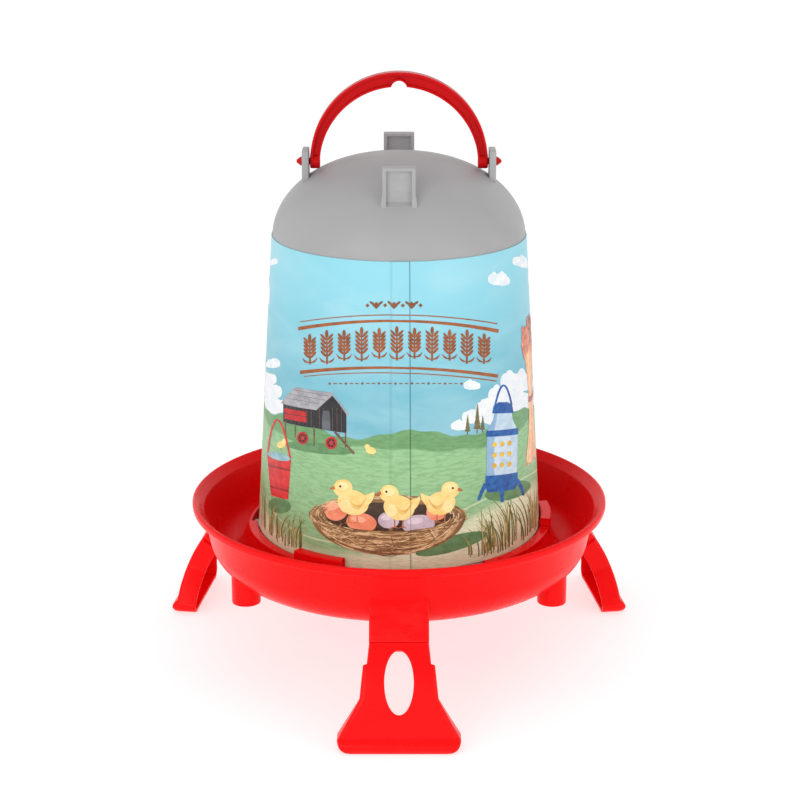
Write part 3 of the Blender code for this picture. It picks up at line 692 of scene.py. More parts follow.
BELL_SHOULDER = RIM_TOP + 0.2045
BELL_APEX = RIM_TOP + 0.2660
SHOULDER_RADIUS = 0.0946
TAPER = 0.0615
BELL_WALL = 0.0022
DOME_POWERS = (2.30, 1.95)
OUTLET_HALF_SPAN = 6.0
OUTLET_TOP = BELL_BOTTOM + 0.0045
LUG_SPAN = (25.5, 33.5)
LUG_RADIUS = 0.1135
LUG_HEIGHTS = (RIM_TOP - 0.0300, RIM_TOP - 0.0250)
CHANNEL_HALF = 0.0118
CHANNEL_RADII = (0.0680, 0.0770)
CHANNEL_WALL = 0.0028
RECESS = 0.0033
EAR_RADII = (0.0665, 0.0715)
EAR_HALF = 0.0105
EAR_HOLE = 0.0030
POST_FOOT = RIM_TOP + 0.2300


def cone_radius(height):
    """Outer radius of the bell's tapered side."""
    return SHOULDER_RADIUS + TAPER * (BELL_SHOULDER - height)


def dome_points(shrink, count):
    """Points of the dome from its shoulder to its apex, inside the outer skin by shrink."""
    radius = SHOULDER_RADIUS - shrink
    rise = BELL_APEX - BELL_SHOULDER - shrink
    points = []
    for turn in spread(0.0, 90.0, count):
        angle = math.radians(turn)
        across = max(0.0, math.cos(angle)) ** (2.0 / DOME_POWERS[0])
        points.append((radius * across, BELL_SHOULDER + rise * math.sin(angle) ** (2.0 / DOME_POWERS[1])))
    points[-1] = (0.0, points[-1][1])
    return points


def make_post(name, side):
    """A channel post with a recess on both faces and a softly flared foot."""
    block = bmesh.new()
    low, high = sorted(side * radius for radius in CHANNEL_RADII)
    rings = []
    for height, flare in ((POST_FOOT, 0.0012), (POST_FOOT + 0.0150, 0.0012), (POST_FOOT + 0.0185, 0.0003),
                          (POST_FOOT + 0.0205, 0.0), (POST_TOP, 0.0)):
        half = CHANNEL_HALF + flare * 0.9
        rings.append([(-half, low, height), (half, low, height), (half, high, height), (-half, high, height)])
    add_loft(block, rings)
    post = make_object(name, block)
    recess = bmesh.new()
    half = CHANNEL_HALF - CHANNEL_WALL
    top = POST_TOP - 0.0025
    outward = sorted((side * (CHANNEL_RADII[1] - RECESS), side * (CHANNEL_RADII[1] + THROUGH)))
    inward = sorted((side * (CHANNEL_RADII[0] + RECESS), side * (CHANNEL_RADII[0] - THROUGH)))
    add_box(recess, (-half, outward[0], POST_FOOT + 0.0120), (half, outward[1], top))
    add_box(recess, (-half, inward[0], POST_FOOT + 0.0200), (half, inward[1], top))
    carve(post, recess)
    bevel(post, 0.0007)
    return post


def make_ear(name, side):
    """A plate post with the hole that the bail's pin turns in."""
    plate = bmesh.new()
    radii = sorted(side * radius for radius in EAR_RADII)
    add_box(plate, (radii[0], -EAR_HALF, POST_FOOT), (radii[1], EAR_HALF, POST_TOP))
    ear = make_object(name, plate)
    hole = bmesh.new()
    quarter = Matrix.Rotation(math.pi / 2.0, 4, "Y")
    place = Matrix.Translation((side * sum(EAR_RADII) / 2.0, 0.0, PIN_HEIGHT)) @ quarter
    bmesh.ops.create_cone(hole, cap_ends=True, segments=48, radius1=EAR_HOLE, radius2=EAR_HOLE, depth=0.012,
                          matrix=place)
    carve(ear, hole)
    bevel(ear, 0.0006)
    return ear


def make_reservoir(grey):
    shell = bmesh.new()
    mouth = cone_radius(BELL_BOTTOM)
    bead = [(mouth - BELL_WALL, BELL_BOTTOM + 0.0006), (mouth - BELL_WALL + 0.0005, BELL_BOTTOM + 0.0001),
            (mouth - 0.0005, BELL_BOTTOM), (mouth, BELL_BOTTOM + 0.0006)]
    add_turned(shell, dome_points(BELL_WALL, 40)[::-1] + bead + dome_points(0.0, 48))
    bell = make_object("reservoir_bell", shell)
    outlets = bmesh.new()
    slot = block_section((mouth - 2.0 * THROUGH, mouth + THROUGH), (BELL_BOTTOM - THROUGH, OUTLET_TOP),
                         SQUARE)
    lugs = bmesh.new()
    lug = block_section((mouth - 0.0011, LUG_RADIUS), LUG_HEIGHTS, (0.0003, 0.0008, 0.0012, 0.0003))
    for turn in BAYONET_TURNS:
        add_sector(outlets, slot, (turn - OUTLET_HALF_SPAN, turn + OUTLET_HALF_SPAN), 2.0, 0.0008)
        add_sector(lugs, lug, (turn + LUG_SPAN[0], turn + LUG_SPAN[1]))
    carve(bell, outlets)
    pieces = [bell, make_object("reservoir_lugs", lugs)]
    posts = [make_post("post_front", -1.0), make_post("post_rear", 1.0)]
    posts += [make_ear("ear_left", -1.0), make_ear("ear_right", 1.0)]
    inner = [(0.0, BELL_BOTTOM), (mouth, BELL_BOTTOM)] + dome_points(0.0010, 48)
    for post in posts:
        hidden = bmesh.new()
        add_turned(hidden, inner)
        carve(post, hidden)
    for piece in pieces + posts:
        dress(piece, grey, "reservoir")
        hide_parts("reservoir")


# ---------------------------------------------------------------- bail handle

BAIL_OUTER = 0.0660
BAIL_END_OUTER = 0.0655
BAIL_END_BAND = 0.0070
BAIL_RIM = 0.0022
BAIL_INNER_RIM = 0.0015
BAIL_WEB = 0.0020
EYE_RADIUS = 0.0054
EYE_MARGIN = 0.0002
PIN_RADIUS = 0.0025
NOTCH_CENTRE = 0.0540
NOTCH_RADIUS = 0.0058


def bail_section(turn):
    """Flanged section of the bail at an angle round the pin axis, 0 at +X and 90 at the crown."""
    angle = math.radians(turn)
    share = math.sin(angle)
    outer = BAIL_END_OUTER + (BAIL_OUTER - BAIL_END_OUTER) * share
    inner = outer - (BAIL_END_BAND + 0.0035 * share)
    aside = NOTCH_CENTRE * math.cos(angle)
    if abs(aside) < NOTCH_RADIUS:
        inner = max(inner, NOTCH_CENTRE * share + math.sqrt(NOTCH_RADIUS ** 2 - aside ** 2))
    wide = 0.0052 + 0.0008 * share
    flange = outer - BAIL_RIM
    lip = inner + BAIL_INNER_RIM
    corners = [(outer, wide, 0.0011), (flange, wide, 0.0006), (flange, BAIL_WEB, 0.0008),
               (lip, BAIL_WEB, 0.0005), (lip, wide, 0.0004), (inner, wide, 0.0006)]
    corners += [(radius, -across, soft) for radius, across, soft in reversed(corners)]
    outline = softened(corners, True, 3)
    return [Vector((radius * math.cos(angle), across, radius * math.sin(angle))) for radius,
            across in outline]


def make_bail(red):
    place = Matrix.Translation(PIN_PLACE)
    bow = bmesh.new()
    turns = spread(0.0, 82.0, 56) + spread(82.5, 97.5, 60) + spread(98.0, 180.0, 56)
    add_loft(bow, [bail_section(turn) for turn in turns])
    pieces = [make_object("bail_bow", bow, place)]
    near = BAIL_END_OUTER - BAIL_END_BAND - EYE_MARGIN
    far = BAIL_END_OUTER + EYE_MARGIN
    eye = [(0.0, near, 0.0), (EYE_RADIUS, near, 0.0014), (EYE_RADIUS, far, 0.0014), (0.0, far, 0.0)]
    root = BAIL_END_OUTER - 0.0020
    ear_face = EAR_RADII[1]
    pin = [(0.0, root, 0.0), (PIN_RADIUS, root, 0.0), (PIN_RADIUS, ear_face + 0.0004, 0.0003),
           (0.0034, ear_face + 0.0004, 0.0004), (0.0032, ear_face + 0.0014, 0.0008),
           (0.0010, ear_face + 0.0043, 0.0006), (0.0, ear_face + 0.0043, 0.0)]
    for label, side in (("left", -1.0), ("right", 1.0)):
        axis = Matrix.Rotation(side * math.pi / 2.0, 4, "Y")
        for part, outline in (("eye", eye), ("pin", pin)):
            mesh = bmesh.new()
            add_turned(mesh, softened(outline, closed=False), axis, SMALL_STEPS)
            pieces.append(make_object("bail_%s_%s" % (part, label), mesh, place))
    for piece in pieces:
        dress(piece, red, "bail")
        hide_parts("bail_handle")


# ---------------------------------------------------------------- printed wrap

SHEET = 0.0005
SHEET_ROUND = 0.00015
GAP = 0.0003
SEAM_HALF = 0.08


def sheet_lift(azimuth):
    """Height of the sheet's outer face over the bell's skin."""
    behind = SEAM - azimuth
    if behind < 0.0 or behind > LAP + LAP_RAMP:
        return GAP + SHEET
    if behind < LAP:
        return GAP + 2.0 * SHEET
    return GAP + SHEET * (2.0 - (behind - LAP) / LAP_RAMP)


def make_wrap():
    """One turn of film, whose end lies on its start."""
    mesh = bmesh.new()
    loops = []
    end = SEAM + 360.0
    stops = [SEAM, SEAM + 0.02] + spread(SEAM + 1.0, end - LAP - LAP_RAMP, 176)
    stops += spread(end - LAP - LAP_RAMP, end - LAP, 8)[1:] + spread(end - 6.5, end - 0.05, 6)
    heights = spread(WRAP_BOTTOM, WRAP_TOP, 24)
    low, high = heights[0], heights[-1]
    for azimuth in stops:
        turn = azimuth if azimuth < SEAM + 180.0 else azimuth - 360.0
        lift = GAP + SHEET if azimuth <= SEAM + 0.03 else sheet_lift(turn)
        ring = [(low, GAP), (low, lift - SHEET_ROUND), (low + SHEET_ROUND, lift)]
        ring += [(height, lift) for height in heights[1:-1] + [high - SHEET_ROUND]]
        ring += [(high, lift - SHEET_ROUND), (high, GAP)]
        ring += [(height, GAP) for height in reversed(heights[1:-1])]
        loops.append([mesh.verts.new(polar(cone_radius(height) + out, azimuth, height)) for height,
                      out in ring])
    size = len(loops[0])
    for current, after in zip(loops, loops[1:] + loops[:1]):
        for index in range(size):
            follow = (index + 1) % size
            mesh.faces.new((current[index], current[follow], after[follow], after[index]))
    wrap = make_object("printed_wrap_sheet", mesh)
    dress(wrap, landscape_print(), "reservoir")
    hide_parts("label_wrap")


INK = 0.000010
FIRST_INK = 0.00002
CUT_STEP = 2
DRAW_SEED = 7


def add_print(mesh, outline, level=0):
    """Lay a flat outline on the wrap as a thin closed film of ink.

    Outlines are in millimetres: first round the wrap from its front, then up from the tray's rim.
    A higher level lies over a lower one.
    """
    flat = bmesh.new()
    points = []
    for across, up in outline:
        height = RIM_TOP + up / 1000.0
        points.append((math.degrees(across / 1000.0 / cone_radius(height)), up, 0.0))
    face = flat.faces.new([flat.verts.new(point) for point in points])
    bmesh.ops.triangulate(flat, faces=[face])
    reach = [point[0] for point in points]
    first, last = math.floor(min(reach)), math.ceil(max(reach))
    cuts = [azimuth for azimuth in range(first, last + 1) if azimuth % CUT_STEP == 0]
    folds = (SEAM - LAP - LAP_RAMP, SEAM - LAP, SEAM - SEAM_HALF, SEAM + SEAM_HALF)
    cuts += [azimuth for azimuth in folds if first < azimuth < last]
    for azimuth in cuts:
        everything = flat.verts[:] + flat.edges[:] + flat.faces[:]
        bmesh.ops.bisect_plane(flat, geom=everything, dist=1e-6, plane_co=(azimuth, 0, 0), plane_no=(1, 0, 0))
    on_seam = [face for face in flat.faces if abs(face.calc_center_median().x - SEAM) < SEAM_HALF]
    bmesh.ops.delete(flat, geom=on_seam, context="FACES")
    bmesh.ops.dissolve_degenerate(flat, dist=1e-4, edges=flat.edges)
    low = FIRST_INK + INK * 1.5 * level
    layers = []
    for lift in (low, low + INK):
        layer = {}
        for vert in flat.verts:
            height = RIM_TOP + vert.co.y / 1000.0
            radius = cone_radius(height) + sheet_lift(vert.co.x) + lift
            layer[vert] = mesh.verts.new(polar(radius, vert.co.x, height))
        layers.append(layer)
    under, over = layers
    for face in flat.faces:
        mesh.faces.new([over[vert] for vert in face.verts])
        mesh.faces.new([under[vert] for vert in reversed(face.verts)])
    for edge in flat.edges:
        if len(edge.link_faces) == 1:
            one, two = edge.verts
            mesh.faces.new((under[one], under[two], over[two], over[one]))
    flat.free()


def print_piece(name, shapes, first, second, scale=70.0):
    """One printed colour: shapes are (outline, level) pairs, in an ink of two display colours."""
    mesh = bmesh.new()
    for outline, level in shapes:
        add_print(mesh, outline, level)
    piece = make_object(name, mesh)
    dress(piece, printed_ink(name.replace("print", "ink"), first, second, scale), "reservoir")


LEVEL_LEAN = 0.313
FACING_LIMIT = 0.992
FRONT_RADIUS = 107.0


def facing(outline):
    """Lay a picture's flat outline, in millimetres, so that it looks level from the photo's side."""
    laid = []
    for across, up in outline:
        radius = 1000.0 * cone_radius(RIM_TOP + up / 1000.0)
        angle = math.asin(max(-FACING_LIMIT, min(FACING_LIMIT, across / radius)))
        height = up - LEVEL_LEAN * radius * (1.0 - math.cos(angle))
        laid.append((1000.0 * cone_radius(RIM_TOP + height / 1000.0) * angle, height))
    return laid


def ellipse(across, up, half_wide, half_tall, turn=0.0, count=28):
    """An ellipse turned anticlockwise by degrees."""
    tilt = math.radians(turn)
    points = []
    for step in range(count):
        angle = math.tau * step / count
        x, y = half_wide * math.cos(angle), half_tall * math.sin(angle)
        points.append((across + x * math.cos(tilt) - y * math.sin(tilt),
                       up + x * math.sin(tilt) + y * math.cos(tilt)))
    return points


def stroke(points, widths, count=8):
    """A strip along a quadratic curve through three points, with a width at its start, middle and end."""
    start, middle, end = (Vector(point) for point in points)
    control = middle * 2.0 - (start + end) / 2.0
    left, right = [], []
    for share in spread(0.0, 1.0, count):
        here = start.lerp(control, share).lerp(control.lerp(end, share), share)
        slope = control.lerp(end, share) - start.lerp(control, share)
        if share < 0.5:
            width = widths[0] + (widths[1] - widths[0]) * share * 2.0
        else:
            width = widths[1] + (widths[2] - widths[1]) * (share * 2.0 - 1.0)
        aside = Vector((-slope.y, slope.x)).normalized() * width / 2.0
        left.append(tuple(here + aside))
        right.append(tuple(here - aside))
    return left + right[::-1]


def bar(start, end, width):
    middle = ((start[0] + end[0]) / 2.0, (start[1] + end[1]) / 2.0)
    return stroke((start, middle, end), (width, width, width), 2)


CLOUD_LEVELS = 6


def print_front(name, shapes, first, second, scale=90.0):
    """Print shapes of the front's flat picture, over the clouds."""
    laid = [(facing(outline), CLOUD_LEVELS + level) for outline, level in shapes]
    print_piece(name, laid, first, second, scale)


def behind_hills(outline):
    """Cut the foot of a laid outline off at the skyline."""
    cut = []
    for across, up in outline:
        azimuth = math.degrees(across / 1000.0 / cone_radius(RIM_TOP + up / 1000.0))
        cut.append((across, max(up, skyline(azimuth) + 0.2)))
    return cut


def cloud(across, up, size, seed):
    """A cloud of uneven puffs on a flat base."""
    chance = random.Random(seed)
    puffs = [(ellipse(across, up - size * 0.10, size, size * 0.30, 0.0, 24), 0)]
    for index in range(7):
        x = -0.72 + 1.44 * index / 6.0
        tall = (0.30 + 0.34 * (1.0 - x * x)) * chance.uniform(0.8, 1.15)
        puff = ellipse(across + size * x, up + size * (tall * 0.45 - 0.08), size * 0.30, size * tall, 0.0, 18)
        puffs.append((puff, 1 + index % 5))
    return puffs


def clouds(places, seed, *ways):
    """Clouds at (across, up, size) places, each outline laid in the given ways."""
    shapes = []
    for index, place in enumerate(places):
        for outline, level in cloud(*place, seed + index):
            for way in ways:
                outline = way(outline)
            shapes.append((outline, level))
    return shapes


def make_sky_print():
    """Small clouds high up, and banks of cloud that rise behind the hills at both sides."""
    front = ((71, 195, 8), (88, 210, 7), (-91, 211, 4), (-92, 134, 6), (52, 117, 6))
    back = ((-150, 160, 16), (150, 175, 15), (190, 150, 18), (-195, 185, 15),
            (235, 185, 17), (280, 120, 18), (320, 170, 14))
    front_bank = ((43, 87, 6), (54, 93, 9), (66, 100, 11), (76, 109, 12), (86, 119, 13),
                  (72, 94, 14), (88, 104, 14), (-97, 122, 8), (-94, 112, 9),
                  (-93, 101, 11))
    back_bank = ((250, 96, 22), (214, 92, 18), (-160, 92, 20))
    print_piece("print_clouds", clouds(front, 40, facing) + clouds(back, 60),
                (240, 242, 243), (218, 228, 234), 120)
    banks = clouds(front_bank, 80, facing, behind_hills) + clouds(back_bank, 90, behind_hills)
    print_piece("print_cloud_banks", banks, (226, 233, 238), (240, 241, 242), 100)


def make_banner_print():
    """Two pairs of curved rules with a row of wheat ears between them, and small rows over and under."""
    rules = [(stroke(((-70.5, 165), (0, 168.6), (70, 163.6)), (0.7, 0.8, 0.9), 40), 0),
             (stroke(((-72, 160), (0, 164.3), (71, 158.2)), (2.6, 1.6, 2.7), 40), 0),
             (stroke(((-71, 127.6), (0, 130.4), (71, 124.8)), (2.7, 1.6, 2.6), 40), 0),
             (stroke(((-68, 124.6), (0, 126.6), (70, 121.2)), (0.6, 0.7, 0.9), 40), 0)]
    print_front("print_rules", rules, (164, 92, 44), (140, 76, 36), 160)
    ears = []
    for index in range(-5, 6):
        across = 12.4 * index - 1.5
        tall = 20 if index % 2 else 22.5
        foot = 147 - 0.0009 * across * across - tall / 2
        stalk = ((across, foot), (across, foot + tall / 2), (across, foot + tall - 2))
        ears.append((stroke(stalk, (1.5, 1.2, 0.8)), 0))
        for level in range(5):
            up = foot + tall * (0.30 + 0.135 * level)
            for side in (-1, 1):
                ears.append((ellipse(across + side * 2.5, up + 1, 3, 0.95, 90 - side * 42, 16), 1 + level))
        ears.append((ellipse(across, foot + tall - 0.4, 1.2, 3, 0, 16), 6))
        for side in (-1, 1):
            leaf = ((across, foot + 1.5), (across + side * 3.2, foot + 2.2), (across + side * 5.4, foot + 5))
            ears.append((stroke(leaf, (0.4, 1.5, 0.2)), 7))
    print_front("print_wheat_ears", ears, (158, 86, 40), (132, 70, 34), 150)
    small = []
    for index in range(-3, 4):
        across = 6.2 * index - 3.5
        wide = 1.5 if index % 2 else 2.7
        small.append((ellipse(across, 175.5, wide, wide, 0, 4), 0))
        if index % 2 == 0:
            for side in (-1, 1):
                small.append((ellipse(across + side * 2.9, 175.5 + 1.6, 2.2, 0.9, side * 38, 12), 1))
    for index in range(-12, 13):
        across = 3.9 * index - 2.5
        mark = bar((across - 1.2, 119), (across + 1.2, 119), 0.7)
        if index % 3 == 0:
            mark = ellipse(across, 119, 1.1, 1.1, 0, 4)
        small.append((mark, 0))
    print_front("print_small_rows", small, (140, 84, 48), (120, 70, 40), 160)


WHEELS = ((-69.5, 78.5), (-48.5, 75))


def make_shed_print():
    """A small dark coop on wheels with a plank roof, a red hatch and a plank to climb."""
    side = [(-84, 105), (-60, 101), (-60, 86), (-84, 90.5)]
    gable = [(-60, 86), (-60, 101), (-48.5, 111.5), (-37.5, 98), (-37.5, 82.5)]
    print_front("print_shed_walls", [(side, 0), (gable, 1)], (44, 44, 48), (30, 32, 34), 200)
    planks = [(bar((-81 + 3 * step, 103.8 - 0.5 * step), (-81 + 3 * step, 90.5 - 0.56 * step), 0.3), 2)
              for step in range(7)]
    planks += [(bar((-57 + 3.2 * step, 101), (-57 + 3.2 * step, 85.6 - 0.5 * step), 0.3), 2)
               for step in range(6)]
    planks += [(bar((-82.5, 91), (-82.5, 76), 1), 2), (bar((-61, 87), (-61, 72.5), 1), 2),
               (bar((-38.2, 83), (-38.2, 71.5), 1), 2), (bar((-75, 89), (-75, 79), 0.8), 2)]
    planks.append((bar((-46, 83.5), (-32, 67), 1.7), 3))
    planks += [(bar((-44.5 + 2.6 * step, 80.6 - 3.1 * step), (-42 + 2.6 * step, 82.4 - 3.1 * step), 0.4), 4)
               for step in range(5)]
    print_front("print_shed_planks", planks, (126, 92, 72), (98, 72, 60), 200)
    roof = [([(-85.8, 104.8), (-61, 99.8), (-47.5, 112.5), (-74.5, 116.8)], 5),
            ([(-47.5, 112.5), (-61, 99.8), (-59.2, 99.4), (-46.9, 110.6)], 6),
            ([(-47.5, 112.5), (-46.9, 110.6), (-36.8, 95.6), (-35.6, 96.6)], 6)]
    print_front("print_shed_roof", roof, (176, 174, 178), (146, 146, 152), 130)
    lines = [(bar((-85 + 2.9 * step, 105.9 + 3 * step), (-60 + 3.4 * step, 101.2 + 2.9 * step), 0.3), 7)
             for step in range(1, 4)]
    lines.append((stroke(((-52, 84.6), (-52, 92), (-52, 99)), (6, 6, 4.6)), 7))
    print_front("print_shed_lines", lines, (104, 106, 112), (84, 88, 94))
    hatch = [([(-83, 101.2), (-66.5, 98.2), (-66.5, 90.2), (-83, 93.2)], 8)]
    hatch += [(ellipse(across, up, 4.2, 4.7), 9) for across, up in WHEELS]
    print_front("print_shed_hatch", hatch, (206, 40, 44), (178, 28, 34), 150)
    hubs = [(ellipse(across, up, 2.9, 3.3), 10) for across, up in WHEELS]
    hubs += [(bar((-83, 97.2), (-66.5, 94.3), 0.4), 10)]
    print_front("print_wheel_rims", hubs, (62, 34, 38), (44, 28, 32))
    spokes = []
    for across, up in WHEELS:
        spokes.append((ellipse(across, up, 1.3, 1.5), 11))
        for turn in (20, 80, 140):
            x, y = 2.7 * math.cos(math.radians(turn)), 3.1 * math.sin(math.radians(turn))
            spokes.append((bar((across - x, up - y), (across + x, up + y), 0.45), 11))
    print_front("print_wheel_spokes", spokes, (196, 60, 58), (170, 48, 48))


def make_plant_print(chance):
    """Trees on the hill, and tufts of long grass at the wrap's foot."""
    trees = []
    for across, up, tall, wide in ((49, 82, 13, 4.2), (56, 83, 20, 5.4), (60, 83.5, 11, 4)):
        for level in range(4):
            low = up + tall * (0.12 + 0.2 * level)
            half = wide * (1 - 0.21 * level) / 2
            top = low + tall * 0.34
            trees.append(([(across - half, low), (across + half, low), (across + half * 0.3, top),
                           (across - half * 0.2, top)], level))
        trees.append((bar((across, up - 1), (across, up + tall * 0.2), 0.9), 0))
    print_front("print_trees", trees, (104, 100, 60), (132, 108, 66), 240)
    grass = []
    for centre, count, reach, tall, bend in ((82, 44, 22, 40, -20), (60, 16, 14, 24, -12),
                                             (-84, 34, 13, 26, 12),
                                             (150, 40, 30, 34, 10), (-150, 44, 34, 38, -10),
                                             (214, 40, 30, 30, 12), (-205, 34, 26, 30, 10)):
        for _ in range(count):
            foot = centre + chance.uniform(-reach, reach)
            height = tall * chance.uniform(0.40, 1)
            lean = bend * chance.uniform(-0.15, 1) * height / tall
            ground = -16
            if abs(centre) <= 100:
                level = math.sqrt(max(0.03, 1 - (foot / FRONT_RADIUS) ** 2))
                ground = -17.5 + LEVEL_LEAN * FRONT_RADIUS * (1 - level)
            low = ground + chance.uniform(-1, 7)
            points = ((foot, low), (foot + lean * 0.2, low + height * 0.6), (foot + lean, low + height))
            blade = stroke(points, (0.9, 0.8, 0.15), 7)
            grass.append((blade if abs(centre) > 100 else facing(blade), chance.randrange(8)))
    chance.shuffle(grass)
    half = len(grass) // 2
    print_piece("print_grass_dark", grass[:half], (112, 116, 62), (88, 104, 52), 160)
    print_piece("print_grass_pale", grass[half:], (190, 176, 118), (160, 152, 92), 160)


SHEAF_MIDDLE = 133


def make_sheaf_print(chance):
    """A straw sheaf with a band round its waist."""
    straw = []
    for _ in range(90):
        foot = chance.uniform(-15, 15)
        top = foot * 1.25 + chance.uniform(-2, 2)
        points = ((SHEAF_MIDDLE + foot, 40 + chance.uniform(-4, 4)), (SHEAF_MIDDLE + foot * 0.42, 86),
                  (SHEAF_MIDDLE + top, 133 + chance.uniform(-12, 4)))
        straw.append((stroke(points, (1.9, 1.3, 1.5)), CLOUD_LEVELS + chance.randrange(10)))
    half = len(straw) // 2
    print_piece("print_straw_warm", straw[:half], (250, 190, 150), (236, 160, 128), 150)
    print_piece("print_straw_pale", straw[half:], (252, 214, 168), (244, 196, 140), 150)
    heads = []
    for _ in range(60):
        aside = chance.uniform(-19, 19)
        up = 134 + chance.uniform(-9, 12) - 0.014 * aside * aside
        outline = ellipse(SHEAF_MIDDLE + aside, up, 1.2, 5, -1.6 * aside + chance.uniform(-12, 12), 14)
        heads.append((outline, CLOUD_LEVELS + 10 + chance.randrange(4)))
    print_piece("print_straw_heads", heads, (230, 142, 108), (208, 112, 88), 150)
    band = stroke(((SHEAF_MIDDLE - 7.6, 87), (SHEAF_MIDDLE, 85.4), (SHEAF_MIDDLE + 7.6, 87)), (4.4, 4.4, 4.4))
    print_piece("print_sheaf_band", [(band, CLOUD_LEVELS + 16)], (196, 96, 84), (172, 80, 72))


def make_pail_print():
    """A blue milk churn to the right and a red pail to the left, each on its own patch of shade."""
    shade = [(ellipse(80, 38, 18, 7, 10), 0), (ellipse(-88, 26, 9, 6, 0), 0),
             (ellipse(38, -1, 27, 6, 15), 0), (ellipse(-58, 71, 25, 4, -6), 0)]
    print_front("print_shade", shade, (104, 150, 100), (86, 130, 84), 110)
    churn = [([(63, 42), (64.5, 39.5), (84.5, 41), (86, 43.5), (86.5, 84), (82.5, 92), (81.5, 98), (68.5, 98),
               (67.5, 92), (63.2, 84)], 3)]
    print_front("print_churn", churn, (206, 222, 234), (176, 202, 222), 120)
    print_front("print_churn_side", [([(63, 42), (64.5, 39.5), (69, 39.8), (68.6, 84), (71, 97.8), (68.5, 98),
                                       (67.5, 92), (63.2, 84)], 4)],
                (150, 184, 212), (132, 170, 202), 120)
    blue = [([(62.4, 41), (64.3, 37.5), (84.9, 39), (86.8, 43), (86.8, 52), (62.4, 50)], 5),
            ([(62.6, 79.5), (87, 81), (86.6, 86), (63, 84)], 5),
            ([(66.8, 97), (83, 97.4), (82, 103), (78.5, 105.5), (71.5, 105.4), (67.8, 102.6)], 5)]
    blue.append((stroke(((69, 103), (75.2, 118), (81.5, 103.2)), (1.4, 1.4, 1.4), 14), 6))
    blue += [(stroke(((62.8, 44), (59.4, 37), (57.6, 31.5)), (3.4, 2.4, 2)), 6),
             (stroke(((86.4, 46), (90.2, 39), (91.6, 33.5)), (3.2, 2.4, 2)), 6),
             (stroke(((74.5, 40), (75, 34), (75.2, 29.5)), (3.4, 2.6, 2.2)), 6)]
    print_front("print_churn_blue", blue, (30, 104, 176), (22, 66, 140), 150)
    dots = [(ellipse(69 + 5.6 * column, 57.5 + 8 * row + 0.5 * column, 1.7, 2, 0, 14), 7) for row in range(3)
            for column in range(3)]
    print_front("print_churn_dots", dots, (238, 196, 70), (216, 168, 48))
    pail = [([(-97.5, 66), (-78.5, 62), (-81, 31), (-94.5, 33.5)], 3)]
    pail.append((stroke(((-97, 66), (-88.5, 92), (-79, 62.5)), (1.4, 1.4, 1.4), 14), 4))
    print_front("print_pail", pail, (226, 46, 42), (196, 32, 34), 150)
    inside = [(ellipse(-88, 64, 9.2, 3, -11), 6)]
    print_front("print_pail_inside", inside, (158, 198, 204), (126, 168, 180))
    print_front("print_pail_hoops", [(bar((-96.6, 57), (-79, 53.5), 1.6), 6),
                                     (bar((-95.4, 40.5), (-80.4, 37.6), 1.6), 6)], (170, 24, 28),
                (146, 18, 24))


NEST_MIDDLE = (-8, 20.5)
NEST_HALF = (56, 15.5)
NEST_DEPTH = 29.5


def nest_point(half, tall, turn):
    """A point of an ellipse round the nest's middle, at an angle in degrees."""
    angle = math.radians(turn)
    return NEST_MIDDLE[0] + half * math.cos(angle), NEST_MIDDLE[1] + tall * math.sin(angle)


def nest_strands(chance):
    """Short bent stems: over the outside of the nest, and round its rim in front and behind."""
    strands = []
    half, tall = NEST_HALF
    for index in range(300):
        drop = chance.random()
        start = chance.uniform(188, 345)
        end = start + chance.uniform(9, 26)
        if end > 352:
            continue
        wide = half * (1 - 0.10 * drop)
        deep = tall * 0.86 + (NEST_DEPTH - tall * 0.86) * drop
        points = []
        for share in (0, 0.5, 1):
            x, y = nest_point(wide, deep, start + (end - start) * share)
            points.append((x + chance.uniform(-0.8, 0.8), y + chance.uniform(-1.1, 1.1)))
        strands.append((stroke(points, (0.35, chance.uniform(0.6, 1), 0.35), 6), 14 + index % 6))
    for index in range(260):
        start = chance.uniform(0, 360)
        reach = chance.uniform(9, 24)
        grow = chance.uniform(0.80, 1.03)
        points = []
        for share in (0, 0.5, 1):
            x, y = nest_point(half * grow, tall * grow, start + reach * share)
            points.append((x, y + chance.uniform(-0.9, 0.9)))
        front = 180 < (start + reach / 2) % 360 < 360
        strand = stroke(points, (0.35, chance.uniform(0.6, 1), 0.35), 6)
        strands.append((strand, (14 if front else 2) + index % 6))
    for _ in range(16):
        foot = nest_point(half * 0.9, NEST_DEPTH * 0.8, chance.uniform(200, 340))
        turn = chance.uniform(-1.2, 1.2)
        reach = chance.uniform(8, 18)
        tip = (foot[0] + reach * math.sin(turn), foot[1] + reach * 0.7 * math.cos(turn))
        strands.append((bar(foot, tip, 0.6), 20))
    return strands


